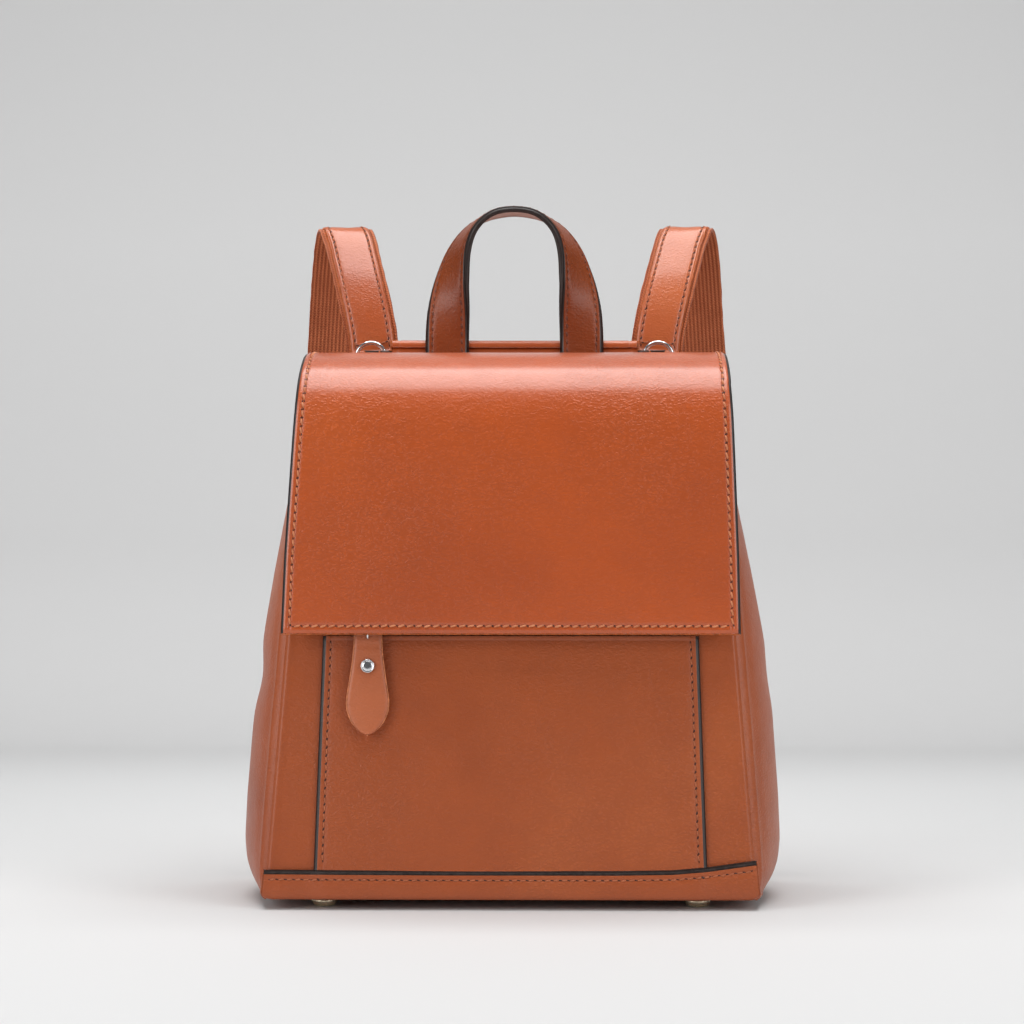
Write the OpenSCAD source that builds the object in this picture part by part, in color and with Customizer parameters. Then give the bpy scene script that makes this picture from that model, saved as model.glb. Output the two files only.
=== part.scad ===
/* [Body] */
// Half width of the front panel at its bottom corners
wf_bot = 140; // [130:1:150]
// Half width of the front panel at the rim
wf_top = 117; // [110:1:122]
// Half width of the back panel at its bottom corners
wb_bot = 143; // [134:1:150]
// Half width of the back panel at the rim
wb_top = 118; // [110:1:122]
// Height of the front rim above the ground
rim_front = 300; // [290:1:302]
// Height of the rim where it meets the back panel
rim_back = 308; // [304:1:309]
// Most that the side gussets bulge outward, as a factor
gusset_bulge = 1.0; // [0.6:0.05:1.1]
// Thickness of the wall leather
leather_t = 2.2; // [1.8:0.1:2.6]
// Clearance from the ground to the base panel, the height of the feet
foot_h = 5; // [5:0.5:7]
// Diameter of the purse feet
foot_d = 15; // [12:1:16]

/* [Front pocket] */
// Half width of the patch pocket at its top corners
pocket_top = 106; // [98:1:107]
// Half width of the patch pocket at its bottom corners
pocket_bot = 111; // [103:1:115]
// Distance of the zip line from the base, along the front panel
zip_s = 154; // [152:1:155]
// Length of the zip chain
zip_len = 188; // [170:2:190]
// Place of the zip slider along the zip when shut
slider_x = -82; // [-86:1:-78]
// Length of the leather zip pull
pull_len = 56; // [48:1:60]

/* [Flap] */
// Half width of the flap at its lower edge
flap_low = 129; // [126:1:131]
// Half width of the flap along its front fold
flap_fold_w = 121; // [119:0.5:123]
// Half width of the flap at its sewn rear edge
flap_rear = 118; // [116:0.5:120]
// How much further the flap's top reaches on the right
flap_lean = 3; // [0:0.5:4]
// Height of the flap's lower edge above the ground
flap_z = 154; // [154:1:156]
// Thickness of the flap's outer leather
flap_leather_t = 1.8; // [1.6:0.1:1.9]
// Thickness of the flap's lining
flap_lining_t = 1.2; // [0.8:0.1:1.2]

/* [Handle] */
// Width of the handle strip
handle_w = 24; // [20:1:24]
// Thickness of the handle strip
handle_t = 3.4; // [2.8:0.1:3.4]
// Height of the top of the handle
handle_top = 410; // [400:1:412]

/* [Shoulder straps] */
// Width of the woven backing of a strap
strap_w = 32; // [28:1:32]
// Width of the leather strip on a strap
strap_leather_w = 26; // [22:1:27]
// Thickness of the woven backing
backing_t = 2.0; // [1.6:0.1:2.2]
// Thickness of the strip of leather on it
strip_t = 2.2; // [1.8:0.1:2.4]
// Width of the lower adjusting strap
lower_w = 20; // [16:1:20]

/* [Hidden] */
$fn = 48;
e = 0.1;
yoff = -27.3;                 // puts the origin under the middle of the bounding box
zb = foot_h;
yf0 = -72;
tilt = 5.04;                // lean of the front panel
yb0 = 70;
tan_b = 13/300;             // lean of the back panel
tan_c = "#b5602c"; tan_d = "#8f4519"; edge_c = "#2b211d"; nickel = "#c9c9cc"; cloth = "#a8957c"; weave = "#964b2d";

function yf(z) = yf0 + (z-zb)*tan(tilt);
function yb(z) = yb0 - (z-zb)*tan_b;
function wf(z) = wf_bot + (wf_top-wf_bot)*(z-zb)/(rim_front-zb);
function wb(z) = wb_bot + (wb_top-wb_bot)*(z-zb)/(rim_back-zb);
function bulge(z) = gusset_bulge*lookup(z, [[5,3.5],[9,8.5],[14,12.5],[22,16],[34,18.2],[60,19.4],[110,20],[148,18.2],[190,14],[230,9.5],[270,4],[300,0.8],[310,0]]);
function unit(v) = v/norm(v);
function dot(a,b) = a[0]*b[0]+a[1]*b[1]+a[2]*b[2];

// smooth curve through hand-chosen points, k steps a span
function cr1(p0,p1,p2,p3,t) = 0.5*((2*p1)+(p2-p0)*t+(2*p0-5*p1+4*p2-p3)*t*t+(3*p1-p0-3*p2+p3)*t*t*t);
function at(P,i) = P[max(0,min(len(P)-1,i))];
function smooth(P,k) = [for (i=[0:len(P)-2]) for (j=[0:k-1]) cr1(at(P,i-1),at(P,i),at(P,i+1),at(P,i+2),j/k), P[len(P)-1]];

// closed solid from rings of points, all with the same count
module skin(R) {
  n = len(R[0]); m = len(R);
  polyhedron(points=[for (r=R) for (p=r) p],
    faces=concat([[for (i=[n-1:-1:0]) i]],
      [for (j=[0:m-2]) for (i=[0:n-1]) each [[j*n+i, j*n+(i+1)%n, (j+1)*n+(i+1)%n], [j*n+i, (j+1)*n+(i+1)%n, (j+1)*n+i]]],
      [[for (i=[0:n-1]) (m-1)*n+i]]), convexity=8);
}
// flat strip of width w swept along points P, between offsets a and b from the path, b on the inner side
function tang(P,i) = unit(at(P,i+1)-at(P,i-1));
function wdir(T) = unit([1,0,0]-dot([1,0,0],T)*T);
module strip(P, w, a, b) {
  skin([for (i=[0:len(P)-1]) let (T=tang(P,i), W=wdir(T), N=cross(T,W))
    [P[i]-W*w/2+N*a, P[i]+W*w/2+N*a, P[i]+W*w/2+N*b, P[i]-W*w/2+N*b]]);
}
module sides(s) { if (s>0) mirror([1,0,0]) children(); else children(); }
module on_front() { translate([0,yf0+yoff,zb]) rotate([-tilt,0,0]) children(); }
// plate in the plane of the front panel: outline in x and s, from y0 to y1
module fplate(y0,y1,pts) { on_front() translate([0,y1,0]) rotate([90,0,0]) linear_extrude(y1-y0) polygon(pts); }
s_top = (rim_front-zb)/cos(tilt);

/* walls */
module front_panel() color(tan_c)
  fplate(0,leather_t,[[-wf_bot,2.8],[wf_bot,2.8],[wf_top,s_top],[-wf_top,s_top]]);
module back_panel() color(tan_c)
  translate([0,yb0+yoff,zb]) rotate([atan(tan_b),0,0]) translate([0,0,0]) rotate([90,0,0])
    linear_extrude(leather_t) polygon([[-wb_bot,2.6],[wb_bot,2.6],[wb_top,rim_back+3-zb],[-wb_top,rim_back+3-zb]]);
function gu(u) = pow(sin(180*u),0.85);
function gpt(u,v,inset) = let (zt=rim_front+(rim_back-rim_front)*u+5*sin(180*u), z=zb+2.7+v*(zt-zb-2.7),
    ya=yf(z)+leather_t+0.15, yc=yb(z)-leather_t-0.15,
    w=wf(z)+(wb(z)-wf(z))*u) [w+bulge(z)*gu(u)-inset, ya+(yc-ya)*u+yoff, z];
NU = 14; NV = 20;
function vv(j) = let (t=j/NV) t*t*0.45+t*0.55;
module gusset(s) color(tan_c) sides(-s) {
  skin([for (j=[0:NV]) concat([for (i=[0:NU]) gpt(i/NU,vv(j),0)],[for (i=[NU:-1:0]) gpt(i/NU,vv(j),leather_t)])]);
}
module base_panel() color(tan_d) translate([0,yoff,zb]) linear_extrude(2.4)
  polygon([[-wf_bot,yf0+0.3],[wf_bot,yf0+0.3],[wf_bot+3.4,-50],[wb_bot+4.5,0],[wb_bot+3,50],[wb_bot,yb0],
    [-wb_bot,yb0],[-wb_bot-3,50],[-wb_bot-4.5,0],[-wf_bot-3.4,-50]]);
module base_board() color("#6f5a44") translate([0,yoff,zb+2.5]) linear_extrude(1.8)
  polygon([[-wf_bot+4,yf0+4],[wf_bot-4,yf0+4],[wb_bot-4,yb0-4],[-wb_bot+4,yb0-4]]);
module bottom_band() color(tan_c)
  fplate(-4.2,-0.1,[[-wf_bot-0.4,-0.1],[wf_bot+0.4,-0.1],[wf_bot-1,22.3],[112,18.2],[92,16.5],[-wf_bot+1,16.8]]);
module back_band() color(tan_c)
  translate([0,yb0+yoff,zb]) rotate([atan(tan_b),0,0]) translate([0,2.6,0]) rotate([90,0,0])
    linear_extrude(2.4) polygon([[-wb_bot,0.2],[wb_bot,0.2],[wb_bot-2,24],[-wb_bot+2,24]]);
module feet() color("#e4d3a2") for (x=[-106,106], y=[yf0+16,yb0-16]) translate([x,y+yoff,0])
  rotate_extrude($fn=40) polygon(concat([[0,0]],[for (a=[0:10:90]) [2.6+(foot_d/2-2.6)*sin(a),(zb-e)*0.8*(1-cos(a))]],[[foot_d/2,zb-e],[0,zb-e]]));

// tub of cloth inside the walls
function ringp(z,ins,n=14) = let (a=wf(z)-ins, c=wb(z)-ins, ya=yf(z)+leather_t+ins-leather_t+0.1, yc=yb(z)-ins-0.1)
  concat([for (i=[0:n]) let(u=i/n) [a+(c-a)*u+bulge(z)*gu(u), ya+(yc-ya)*u+yoff, z]],
         [for (i=[n:-1:0]) let(u=i/n) [-(a+(c-a)*u+bulge(z)*gu(u)), ya+(yc-ya)*u+yoff, z]]);
function zl(j) = let (t=j/16) 10+(294-10)*(t*t*0.45+t*0.55);
module tub(z0,z1,a,b,floor) {
  Z = [for (j=[0:16]) let(t=j/16) z0+(z1-z0)*(t*t*0.45+t*0.55)];
  n = 30; m = len(Z);
  // outside up, inside down
  R = concat([for (z=Z) ringp(z,a)],[for (j=[m-1:-1:0]) let(z=max(Z[j],floor?z0+(b-a):z0)) ringp(j==0&&floor?z0+(b-a):z,b)]);
  mm = len(R);
  body = [for (j=[0:mm-2]) for (i=[0:n-1]) each [[j*n+i,j*n+(i+1)%n,(j+1)*n+(i+1)%n],[j*n+i,(j+1)*n+(i+1)%n,(j+1)*n+i]]];
  caps = floor ? concat([[for (i=[n-1:-1:0]) i]],[[for (i=[0:n-1]) (mm-1)*n+i]])
               : [for (i=[0:n-1]) each [[(mm-1)*n+i,(mm-1)*n+(i+1)%n,(i+1)%n],[(mm-1)*n+i,(i+1)%n,i]]];
  polyhedron(points=[for (r=R) for (p=r) p], faces=concat(body,caps), convexity=8);
}
module lining() color(cloth) tub(zb+4.6,294,leather_t+0.6,leather_t+1.4,true);
module rim_facing() color(tan_d) tub(262,296,leather_t+1.6,leather_t+3.0,false);

/* front pocket and its zip */
function pk(s) = pocket_bot+(pocket_top-pocket_bot)*s/zip_s;
pocket_out = [[-pk(17),17.2],[90,16.9],[pk(18.4),18.4],[pk(zip_s),zip_s-5],[-pk(zip_s),zip_s-5]];
module pocket_panel() color(tan_c) difference() {
  fplate(-2.6,-e,pocket_out);
  fplate(-1.0,0,[[-pk(30)+9,26],[pk(30)-9,26],[pk(zip_s)-6,zip_s],[-pk(zip_s)+6,zip_s]]);
}
module zip_facing() color(tan_c) fplate(-2.6,-1.0,[[-pocket_top,zip_s+5],[pocket_top,zip_s+5],[pocket_top-1,zip_s+19],[-pocket_top+1,zip_s+19]]);
module zip_tape() color("#5a3520") fplate(-0.95,-0.1,[[-99,zip_s-14],[99,zip_s-14],[99,zip_s+16],[-99,zip_s+16]]);
module zip_chain() color(nickel) fplate(-3.0,-1.0,[[slider_x-8,zip_s-3],[slider_x-8+zip_len,zip_s-3],[slider_x-8+zip_len,zip_s+3],[slider_x-8,zip_s+3]]);
module zip_stops() color(nickel) for (x=[slider_x-9.7,slider_x-6.3+zip_len])
  fplate(-3.4,-1.0,[[x-1.5,zip_s-3.4],[x+1.5,zip_s-3.4],[x+1.5,zip_s+3.4],[x-1.5,zip_s+3.4]]);
snap_s = 192;
module snap_patch() color(tan_d) on_front() translate([0,-0.1,snap_s]) rotate([90,0,0]) cylinder(d=34,h=5.4);
module snap_socket() color(nickel) on_front() translate([0,-5.6,snap_s]) rotate([90,0,0]) rotate_extrude()
  polygon([[2.9,0],[9,0],[9,2.4],[8.2,3.6],[2.9,3.6]]);

/* flap: outer line from the sewn rear edge over the front fold to the lower edge */
F = smooth([[50,314],[34,315.6],[14,316.8],[-8,317.3],[-26,316.2],[-41,312.2],[-54,304.8],[-63.5,294],[-69,280],[-71.4,262],[-72.6,236],[-73.4,204],[-74,176],[-74.2,flap_z]],4);
function fn2(i) = let (t=at(F,i+1)-at(F,i-1), u=t/norm(t)) [-u[1],u[0]];
function foff(i,d) = F[i]+fn2(i)*d;
FS = 16;                    // index of the fold axis in F
fold_y = F[FS][0]; fold_z = F[FS][1];
module fprof(i0,i1,a,b) translate([0,yoff,0]) rotate([90,0,90]) linear_extrude(280,center=true)
  polygon(concat([for (i=[i0:i1]) foff(i,a)],[for (i=[i1:-1:i0]) foff(i,b)]));
module ftop(a,b) intersection() {
  difference() { fprof(0,FS,a,b);
    translate([-150,fold_y+yoff-20+0.1,280]) cube([300,20,60]); translate([-150,50+yoff-0.1,280]) cube([300,20,60]); }
  translate([0,yoff,280]) linear_extrude(60) polygon([[-flap_rear,60],[flap_rear+flap_lean+1,60],[flap_fold_w+flap_lean-0.4,fold_y-1],[-flap_fold_w+0.4,fold_y-1]]);
}
module ffront(a,b) intersection() {
  difference() { fprof(FS,len(F)-1,a,b); translate([-150,fold_y+yoff-0.1,250]) cube([300,80,90]); }
  translate([0,-20,0]) rotate([90,0,0]) linear_extrude(120,center=false) polygon([[-flap_low,flap_z],[flap_low,flap_z],[flap_fold_w+flap_lean+0.8,290],[flap_fold_w+flap_lean,320],[-flap_fold_w,320],[-flap_fold_w-1.4,290]]);
}
module flap_top_leather() color(tan_c) ftop(0,flap_leather_t);
module flap_top_lining() color(cloth) ftop(flap_leather_t+0.05,flap_leather_t+flap_lining_t);
module flap_front_leather() color(tan_c) ffront(0,flap_leather_t);
module flap_front_lining() color(cloth) ffront(flap_leather_t+0.05,flap_leather_t+flap_lining_t);
snap_z = zb+snap_s*cos(tilt);
module snap_stud() color(nickel) translate([0,-70.1+yoff,snap_z]) rotate([-90,0,0]) rotate_extrude()
  polygon([[0,0],[9,0],[9,2],[7.5,3.0],[1.6,3.0],[1.6,7],[0,7]]);
// strip that carries the flap's rear edge down onto the back panel
module flap_seam_strip() color(tan_c) translate([0,yoff,0]) rotate([90,0,90]) linear_extrude(2*flap_rear-2,center=true)
  polygon([[50.1,314],[53,313.9],[56,313.0],[57.6,311.3],[50.1,311.3]]);

/* carry handle */
ht = handle_top-handle_t/2;
hy = 62.4;
HL = [[-41,hy,276],[-41,hy,310],[-41,hy,333],[-40.2,hy,352],[-38.4,hy,366.8],[-34.4,hy,383.4],[-27,hy,396.7],[-15,hy,405.5],[0,hy,ht]];
HP = smooth(concat(HL,[for (i=[len(HL)-2:-1:0]) [-HL[i][0],hy,HL[i][2]]]),4);
function tw(z,x) = lookup(z,[[276,0],[330,0],[345,12],[363,36],[382,58],[395,74],[ht-1,90],[ht+2,90]]);
function hsec(i) = let (P=HP[i], T=tang(HP,i), ni=cross(T,[0,-1,0]), f=tw(P[2],P[0]),
   W=unit((ni*sign(dot(ni,[-P[0],0,-30]))*cos(f))+[0,-1,0]*sin(f)), N=unit(cross(T,W)), w=handle_w/2, t=handle_t/2, s=P[0]>0?-1:1)
   [P-W*w-N*t, P+W*w-N*t, P+W*w+N*t, P-W*w+N*t];
module hstrip(i0,i1,a=0) skin([for (i=[i0:i1]) let (q=hsec(i)) [for (p=q) [p[0],p[1]+yoff,p[2]]]]);
hz = 333;
module handle() color(tan_c) skin([for (i=[8:len(HP)-9]) let (q=hsec(i)) [for (p=q) [p[0],p[1]+yoff,p[2]+(i==8||i==len(HP)-9?1.5:0)]]]);
module handle_ends() color(tan_d) for (x=[-1,1]) translate([x*41-handle_w/2,hy-handle_t/2+yoff,276]) cube([handle_w,handle_t,hz-276-0.3]);

/* yoke that carries the strap rings, on the back panel */
yk = hy+handle_t/2+0.2;
module yoke_band() color(tan_c) translate([0,yoff,0]) rotate([90,0,90]) linear_extrude(150,center=true)
  union() { translate([yk,268]) square([3.6,59]); translate([yk+2.9,327]) circle(r=2.8,$fn=32); }
rx = 82; ry = yk+1.8; rz = 319; rR = 9; rr = 1.2;
module yoke_tabs() color("#4a2a18") for (s=[-1,1]) translate([s*(77.6+rr),ry+yoff,rz-4]) difference() {
  cylinder(r=3.6,h=8,$fn=32); translate([0,0,-1]) cylinder(r=2.3,h=10,$fn=32);
}
module top_rings() color(nickel) for (s=[-1,1]) translate([s*(77.6+rR+rr),ry+yoff,rz]) rotate([90,0,0]) rotate_extrude($fn=48) translate([rR,0]) circle(r=rr,$fn=20);
rcx = 77.6+rR+rr;

/* lower anchors */
lx = 126; ly = 80; lz = 26;
module lower_tabs() color(tan_d) for (s=[-1,1]) translate([s*lx,ly+yoff,lz]) {
  translate([-9,-7.3,-18]) cube([18,7.3,3.2]);
  translate([-9,-1.6,-16]) cube([18,3.2,7.2]);
  difference() { translate([-9,0,-5.7]) rotate([0,90,0]) cylinder(r=4.0,h=18,$fn=32); translate([-10,0,-5.7]) rotate([0,90,0]) cylinder(r=2.4,h=20,$fn=32); }
}
module lower_rings() color(nickel) for (s=[-1,1]) translate([s*lx,ly+yoff,lz+1]) rotate([90,0,0]) difference() {
  linear_extrude(2.4,center=true) offset(r=2) square([24,12],center=true);
  linear_extrude(4,center=true) offset(r=1) square([21.2,9.2],center=true);
}

/* shoulder straps, drawn for the left side and mirrored for the right */
SP = smooth([[-87.3,76,322],[-88.4,76.2,334],[-91.6,78.6,350],[-95.8,84.8,367],[-99.8,93.4,382],[-103.4,102.8,394.5],[-107.2,111.2,400.8],[-110.2,118.6,396],[-112.6,123.8,380],[-114.8,126.6,350],[-117,127.3,312],[-120.2,127.5,262],[-123.2,125,212],[-126,119,166]],4);
LP = smooth([[-125.8,113.4,166],[-126.1,109.8,136],[-126.3,103,104],[-126.3,95,72],[-126.2,88,48],[-126.1,85.2,35.4]],4);
module shift() translate([0,yoff,0]) children();
module strap_backing() color(weave) shift() strip(SP, strap_w, 0.05, backing_t);
module strap_leather() color(tan_c) shift() strip(SP, strap_leather_w, -strip_t, -0.05);
// tongue that folds round the top ring
module strap_loop() color(tan_d) shift() {
  difference() {
    union() { translate([-rcx-4.5,ry,rz-rR+0.4]) rotate([0,90,0]) cylinder(r=5.0,h=9,$fn=32);
      translate([-rcx-4.5,ry+4.6,rz-rR+0.4]) cube([9,4.2,11.3]); }
    translate([-rcx-6,ry,rz-rR+0.4]) rotate([0,90,0]) cylinder(r=2.9,h=12,$fn=32);
  }
}
module strap_rivets() color(nickel) shift() for (z=[318.3]) translate([-87.8,ry+4.55,z]) rotate([90,0,0]) cylinder(r1=3.2,r2=2.4,h=1.4,$fn=32);
module adjuster() color(nickel) shift() translate([-125.9,115.0,159]) rotate([-6.8,0,0]) rotate([90,0,0]) difference() {
  linear_extrude(2,center=true) offset(r=2) square([28,20],center=true);
  linear_extrude(4,center=true) for (y=[-5.2,5.2]) translate([0,y]) square([26.4,6.6],center=true);
}
module lower_strap() color(tan_c) shift() strip(LP, lower_w, -1.1, 1.1);
module lower_loop() color(tan_d) shift() difference() {
  translate([-lx-8,ly,lz+7.3]) rotate([0,90,0]) cylinder(r=5.4,h=16,$fn=40);
  translate([-lx-9,ly,lz+7.3]) rotate([0,90,0]) cylinder(r=3.7,h=18,$fn=40);
  for (z=[0]) translate([-lx-9,ly+3.6,lz+7.9]) cube([18,4,8]);
}
module keeper() color(tan_d) shift() translate([-126.3,101.9,99.6]) rotate([-13.2,0,0]) difference() {
  cube([24.6,6.6,8],center=true); cube([21.2,3.2,10],center=true); }

/* zip slider, link and leather pull */
bar_s = zip_s-3.5; bar_y = -8.3;
module zip_slider() color(nickel) on_front() {
  translate([slider_x-6,-5.2,zip_s-4.5]) cube([12,1.8,9]);
  translate([slider_x-5.4,bar_y,bar_s]) rotate([0,90,0]) cylinder(r=0.7,h=10.8,$fn=24);
  for (x=[-5.4,4.2]) translate([slider_x+x,bar_y,bar_s-0.7]) cube([1.2,3.0,1.4]);
}
module pull_link() color(nickel) on_front() translate([slider_x,bar_y,bar_s-1.0]) rotate([0,90,0]) rotate_extrude($fn=40) translate([2.4,0]) circle(r=0.55,$fn=16);
pt = bar_s-1.2;
function pw(t) = lookup(t,[[0,7.4],[6,7.5],[14,8.2],[24,9.6],[33,11.1],[38,11.6],[43,10.9],[48,8.8],[52,6.0],[54.5,3.6],[56,0.6]])*1.0;
module zip_pull() color(tan_c) on_front() difference() {
  translate([slider_x,-6.6,pt]) rotate([90,0,0]) linear_extrude(2.4)
    polygon(concat([for (t=[0:2:56]) [-pw(t),-t*pull_len/56]],[for (t=[56:-2:0]) [pw(t),-t*pull_len/56]]));
  translate([slider_x,-6,bar_s-3.4]) rotate([90,0,0]) cylinder(r=1.6,h=4,$fn=24);
}
module pull_rivet() color(nickel) on_front() translate([slider_x,-9.05,pt-16]) rotate([90,0,0]) rotate_extrude($fn=32)
  polygon([[0,0],[4,0],[4,0.6],[3.4,1.3],[2,1.8],[0,2]]);

front_panel();
back_panel();
gusset(-1);  // left_gusset
gusset(1);  // right_gusset
base_panel();
base_board();
bottom_band();
back_band();
feet();
lining();
rim_facing();
pocket_panel();
zip_facing();
zip_tape();
zip_chain();
zip_stops();
snap_patch();
snap_socket();
flap_seam_strip();
handle_ends();
yoke_band();
yoke_tabs();
top_rings();
lower_tabs();
lower_rings();
flap_top_leather();
flap_top_lining();
flap_front_leather();
flap_front_lining();
snap_stud();
handle();
zip_slider();
pull_link();
zip_pull();
pull_rivet();
strap_backing();  // left_strap_backing
strap_leather();  // left_strap_leather
strap_loop();  // left_strap_loop
strap_rivets();  // left_strap_rivets
adjuster();  // left_adjuster
lower_strap();  // left_lower_strap
lower_loop();  // left_lower_loop
keeper();  // left_keeper
mirror([1,0,0]) strap_backing();  // right_strap_backing
mirror([1,0,0]) strap_leather();  // right_strap_leather
mirror([1,0,0]) strap_loop();  // right_strap_loop
mirror([1,0,0]) strap_rivets();  // right_strap_rivets
mirror([1,0,0]) adjuster();  // right_adjuster
mirror([1,0,0]) lower_strap();  // right_lower_strap
mirror([1,0,0]) lower_loop();  // right_lower_loop
mirror([1,0,0]) keeper();  // right_keeper
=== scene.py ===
import bpy, bmesh, math
import numpy as np
from mathutils import Vector, Matrix


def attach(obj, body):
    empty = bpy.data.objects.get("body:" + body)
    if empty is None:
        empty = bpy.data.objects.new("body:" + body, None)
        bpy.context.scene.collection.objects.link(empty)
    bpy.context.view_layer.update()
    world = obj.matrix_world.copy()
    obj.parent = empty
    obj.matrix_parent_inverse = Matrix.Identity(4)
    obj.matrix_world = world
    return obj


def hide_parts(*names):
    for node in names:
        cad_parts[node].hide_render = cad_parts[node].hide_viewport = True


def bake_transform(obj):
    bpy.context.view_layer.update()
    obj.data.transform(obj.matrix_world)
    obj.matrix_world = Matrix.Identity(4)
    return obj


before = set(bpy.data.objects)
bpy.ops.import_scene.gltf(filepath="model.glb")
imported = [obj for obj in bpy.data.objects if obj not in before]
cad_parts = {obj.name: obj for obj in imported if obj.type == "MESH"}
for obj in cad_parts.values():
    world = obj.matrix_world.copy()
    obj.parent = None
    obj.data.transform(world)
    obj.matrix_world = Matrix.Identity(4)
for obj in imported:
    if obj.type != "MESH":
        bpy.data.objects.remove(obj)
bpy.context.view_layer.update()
MM = 0.001
rng = np.random.default_rng(7)

# ---------------------------------------------------------------- shape rules, in millimetres, the same as the frame's
YO = -27.3
ZB, YF0, YB0, TILT = 5.0, -72.0, 70.0, math.radians(5.04)
TB = 13 / 300
RF, RB = 300.0, 308.0
def yf(z): return YF0 + (z - ZB) * math.tan(TILT)
def yb(z): return YB0 - (z - ZB) * TB
def wf(z): return 140 + (117 - 140) * (z - ZB) / (RF - ZB)
def wb(z): return 143 + (118 - 143) * (z - ZB) / (RB - ZB)
BZ = [5, 9, 14, 22, 34, 60, 110, 148, 190, 230, 270, 300, 310]
BV = [3.5, 8.5, 12.5, 16, 18.2, 19.4, 20, 18.2, 14, 9.5, 4, 0.8, 0]
def _smooth_lut():
    zz = np.arange(5, 311, 1.0); v = np.interp(zz, BZ, BV)
    k = np.array([1, 2, 3, 4, 5, 4, 3, 2, 1], float); k /= k.sum()
    low = v.copy()
    v2 = np.convolve(np.pad(v, 4, mode="edge"), k, "valid")
    v2[:4] = low[:4]
    return zz, v2
_BZ, _BV = _smooth_lut()
def bulge(z): return np.interp(z, _BZ, _BV)
def front(x, yp, s):
    """point in the plane of the front panel: x across, yp out of it (negative is outward), s up along it"""
    x, yp, s = np.broadcast_arrays(np.asarray(x, float), np.asarray(yp, float), np.asarray(s, float))
    return np.stack([x, YF0 + YO + yp * math.cos(TILT) + s * math.sin(TILT), ZB - yp * math.sin(TILT) + s * math.cos(TILT)], -1)
def catmull(P, k):
    P = np.array(P, float); n = len(P); out = []
    for i in range(n - 1):
        p0, p1, p2, p3 = P[max(i - 1, 0)], P[i], P[i + 1], P[min(i + 2, n - 1)]
        for j in range(k):
            t = j / k
            out.append(0.5 * (2 * p1 + (p2 - p0) * t + (2 * p0 - 5 * p1 + 4 * p2 - p3) * t * t + (3 * p1 - p0 - 3 * p2 + p3) * t ** 3))
    out.append(P[-1]); return np.array(out)
def resample(P, step=None, n=None):
    P = np.array(P, float); d = np.r_[0, np.cumsum(np.linalg.norm(np.diff(P, axis=0), axis=1))]
    n = n or max(2, int(round(d[-1] / step)) + 1)
    q = np.linspace(0, d[-1], n)
    return np.stack([np.interp(q, d, P[:, c]) for c in range(P.shape[1])], -1), q
def unit(v):
    v = np.asarray(v, float); return v / np.maximum(np.linalg.norm(v, axis=-1, keepdims=True), 1e-12)
def wav(x, y, seed=0, s=1.0):
    """smooth repeatable waviness, about -1..1"""
    r = np.random.default_rng(1000 + seed); o = 0
    for k in range(7):
        a = r.uniform(0, 2 * math.pi); f = r.uniform(0.6, 2.0) / s; p = r.uniform(0, 6.28)
        o = o + np.sin((np.cos(a) * x + np.sin(a) * y) * f + p) / (1 + 0.35 * k)
    return o / 3.0

# ---------------------------------------------------------------- materials
def lin(r, g, b):
    f = lambda c: (c / 255) / 12.92 if c / 255 <= 0.04045 else ((c / 255 + 0.055) / 1.055) ** 2.4
    return (f(r), f(g), f(b), 1)
class N:
    def __init__(s, name):
        s.m = bpy.data.materials.new(name); s.m.use_nodes = True; s.t = s.m.node_tree
        s.t.nodes.clear(); s.out = s.n("ShaderNodeOutputMaterial"); s.b = s.n("ShaderNodeBsdfPrincipled")
        s.l(s.b.outputs[0], s.out.inputs[0])
    def n(s, k, **a):
        x = s.t.nodes.new(k)
        for q, v in a.items(): setattr(x, q, v)
        return x
    def l(s, a, b): s.t.links.new(a, b)
    def set(s, **a):
        for k, v in a.items(): s.b.inputs[k.replace("_", " ")].default_value = v
    def noise(s, co, scale, detail=3, rough=0.5, dist=0.0):
        x = s.n("ShaderNodeTexNoise"); x.inputs["Scale"].default_value = scale; x.inputs["Detail"].default_value = detail
        x.inputs["Roughness"].default_value = rough; x.inputs["Distortion"].default_value = dist; s.l(co, x.inputs["Vector"]); return x.outputs["Fac"]
    def ramp(s, f, stops, interp="LINEAR"):
        x = s.n("ShaderNodeValToRGB"); x.color_ramp.interpolation = interp; e = x.color_ramp.elements
        while len(e) < len(stops): e.new(0.5)
        for q, (p, c) in zip(e, stops): q.position = p; q.color = c if len(c) == 4 else (*c, 1)
        s.l(f, x.inputs[0]); return x.outputs[0]
    def mix(s, f, a, b, mode="MIX"):
        x = s.n("ShaderNodeMix", data_type="RGBA", blend_type=mode)
        (s.l(f, x.inputs[0]) if not isinstance(f, (int, float)) else setattr(x.inputs[0], "default_value", f))
        for v, i in ((a, 6), (b, 7)):
            (s.l(v, x.inputs[i]) if not isinstance(v, tuple) else setattr(x.inputs[i], "default_value", v))
        return x.outputs[2]
    def math(s, op, a, b=0.0, c=None):
        x = s.n("ShaderNodeMath", operation=op)
        for v, i in ((a, 0), (b, 1), (c, 2)):
            if v is None: continue
            (s.l(v, x.inputs[i]) if not isinstance(v, (int, float)) else setattr(x.inputs[i], "default_value", v))
        return x.outputs[0]
    def bump(s, h, strength, dist, prev=None):
        x = s.n("ShaderNodeBump"); x.inputs["Strength"].default_value = strength; x.inputs["Distance"].default_value = dist
        s.l(h, x.inputs["Height"]);
        if prev is not None: s.l(prev, x.inputs["Normal"])
        return x.outputs[0]

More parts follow.
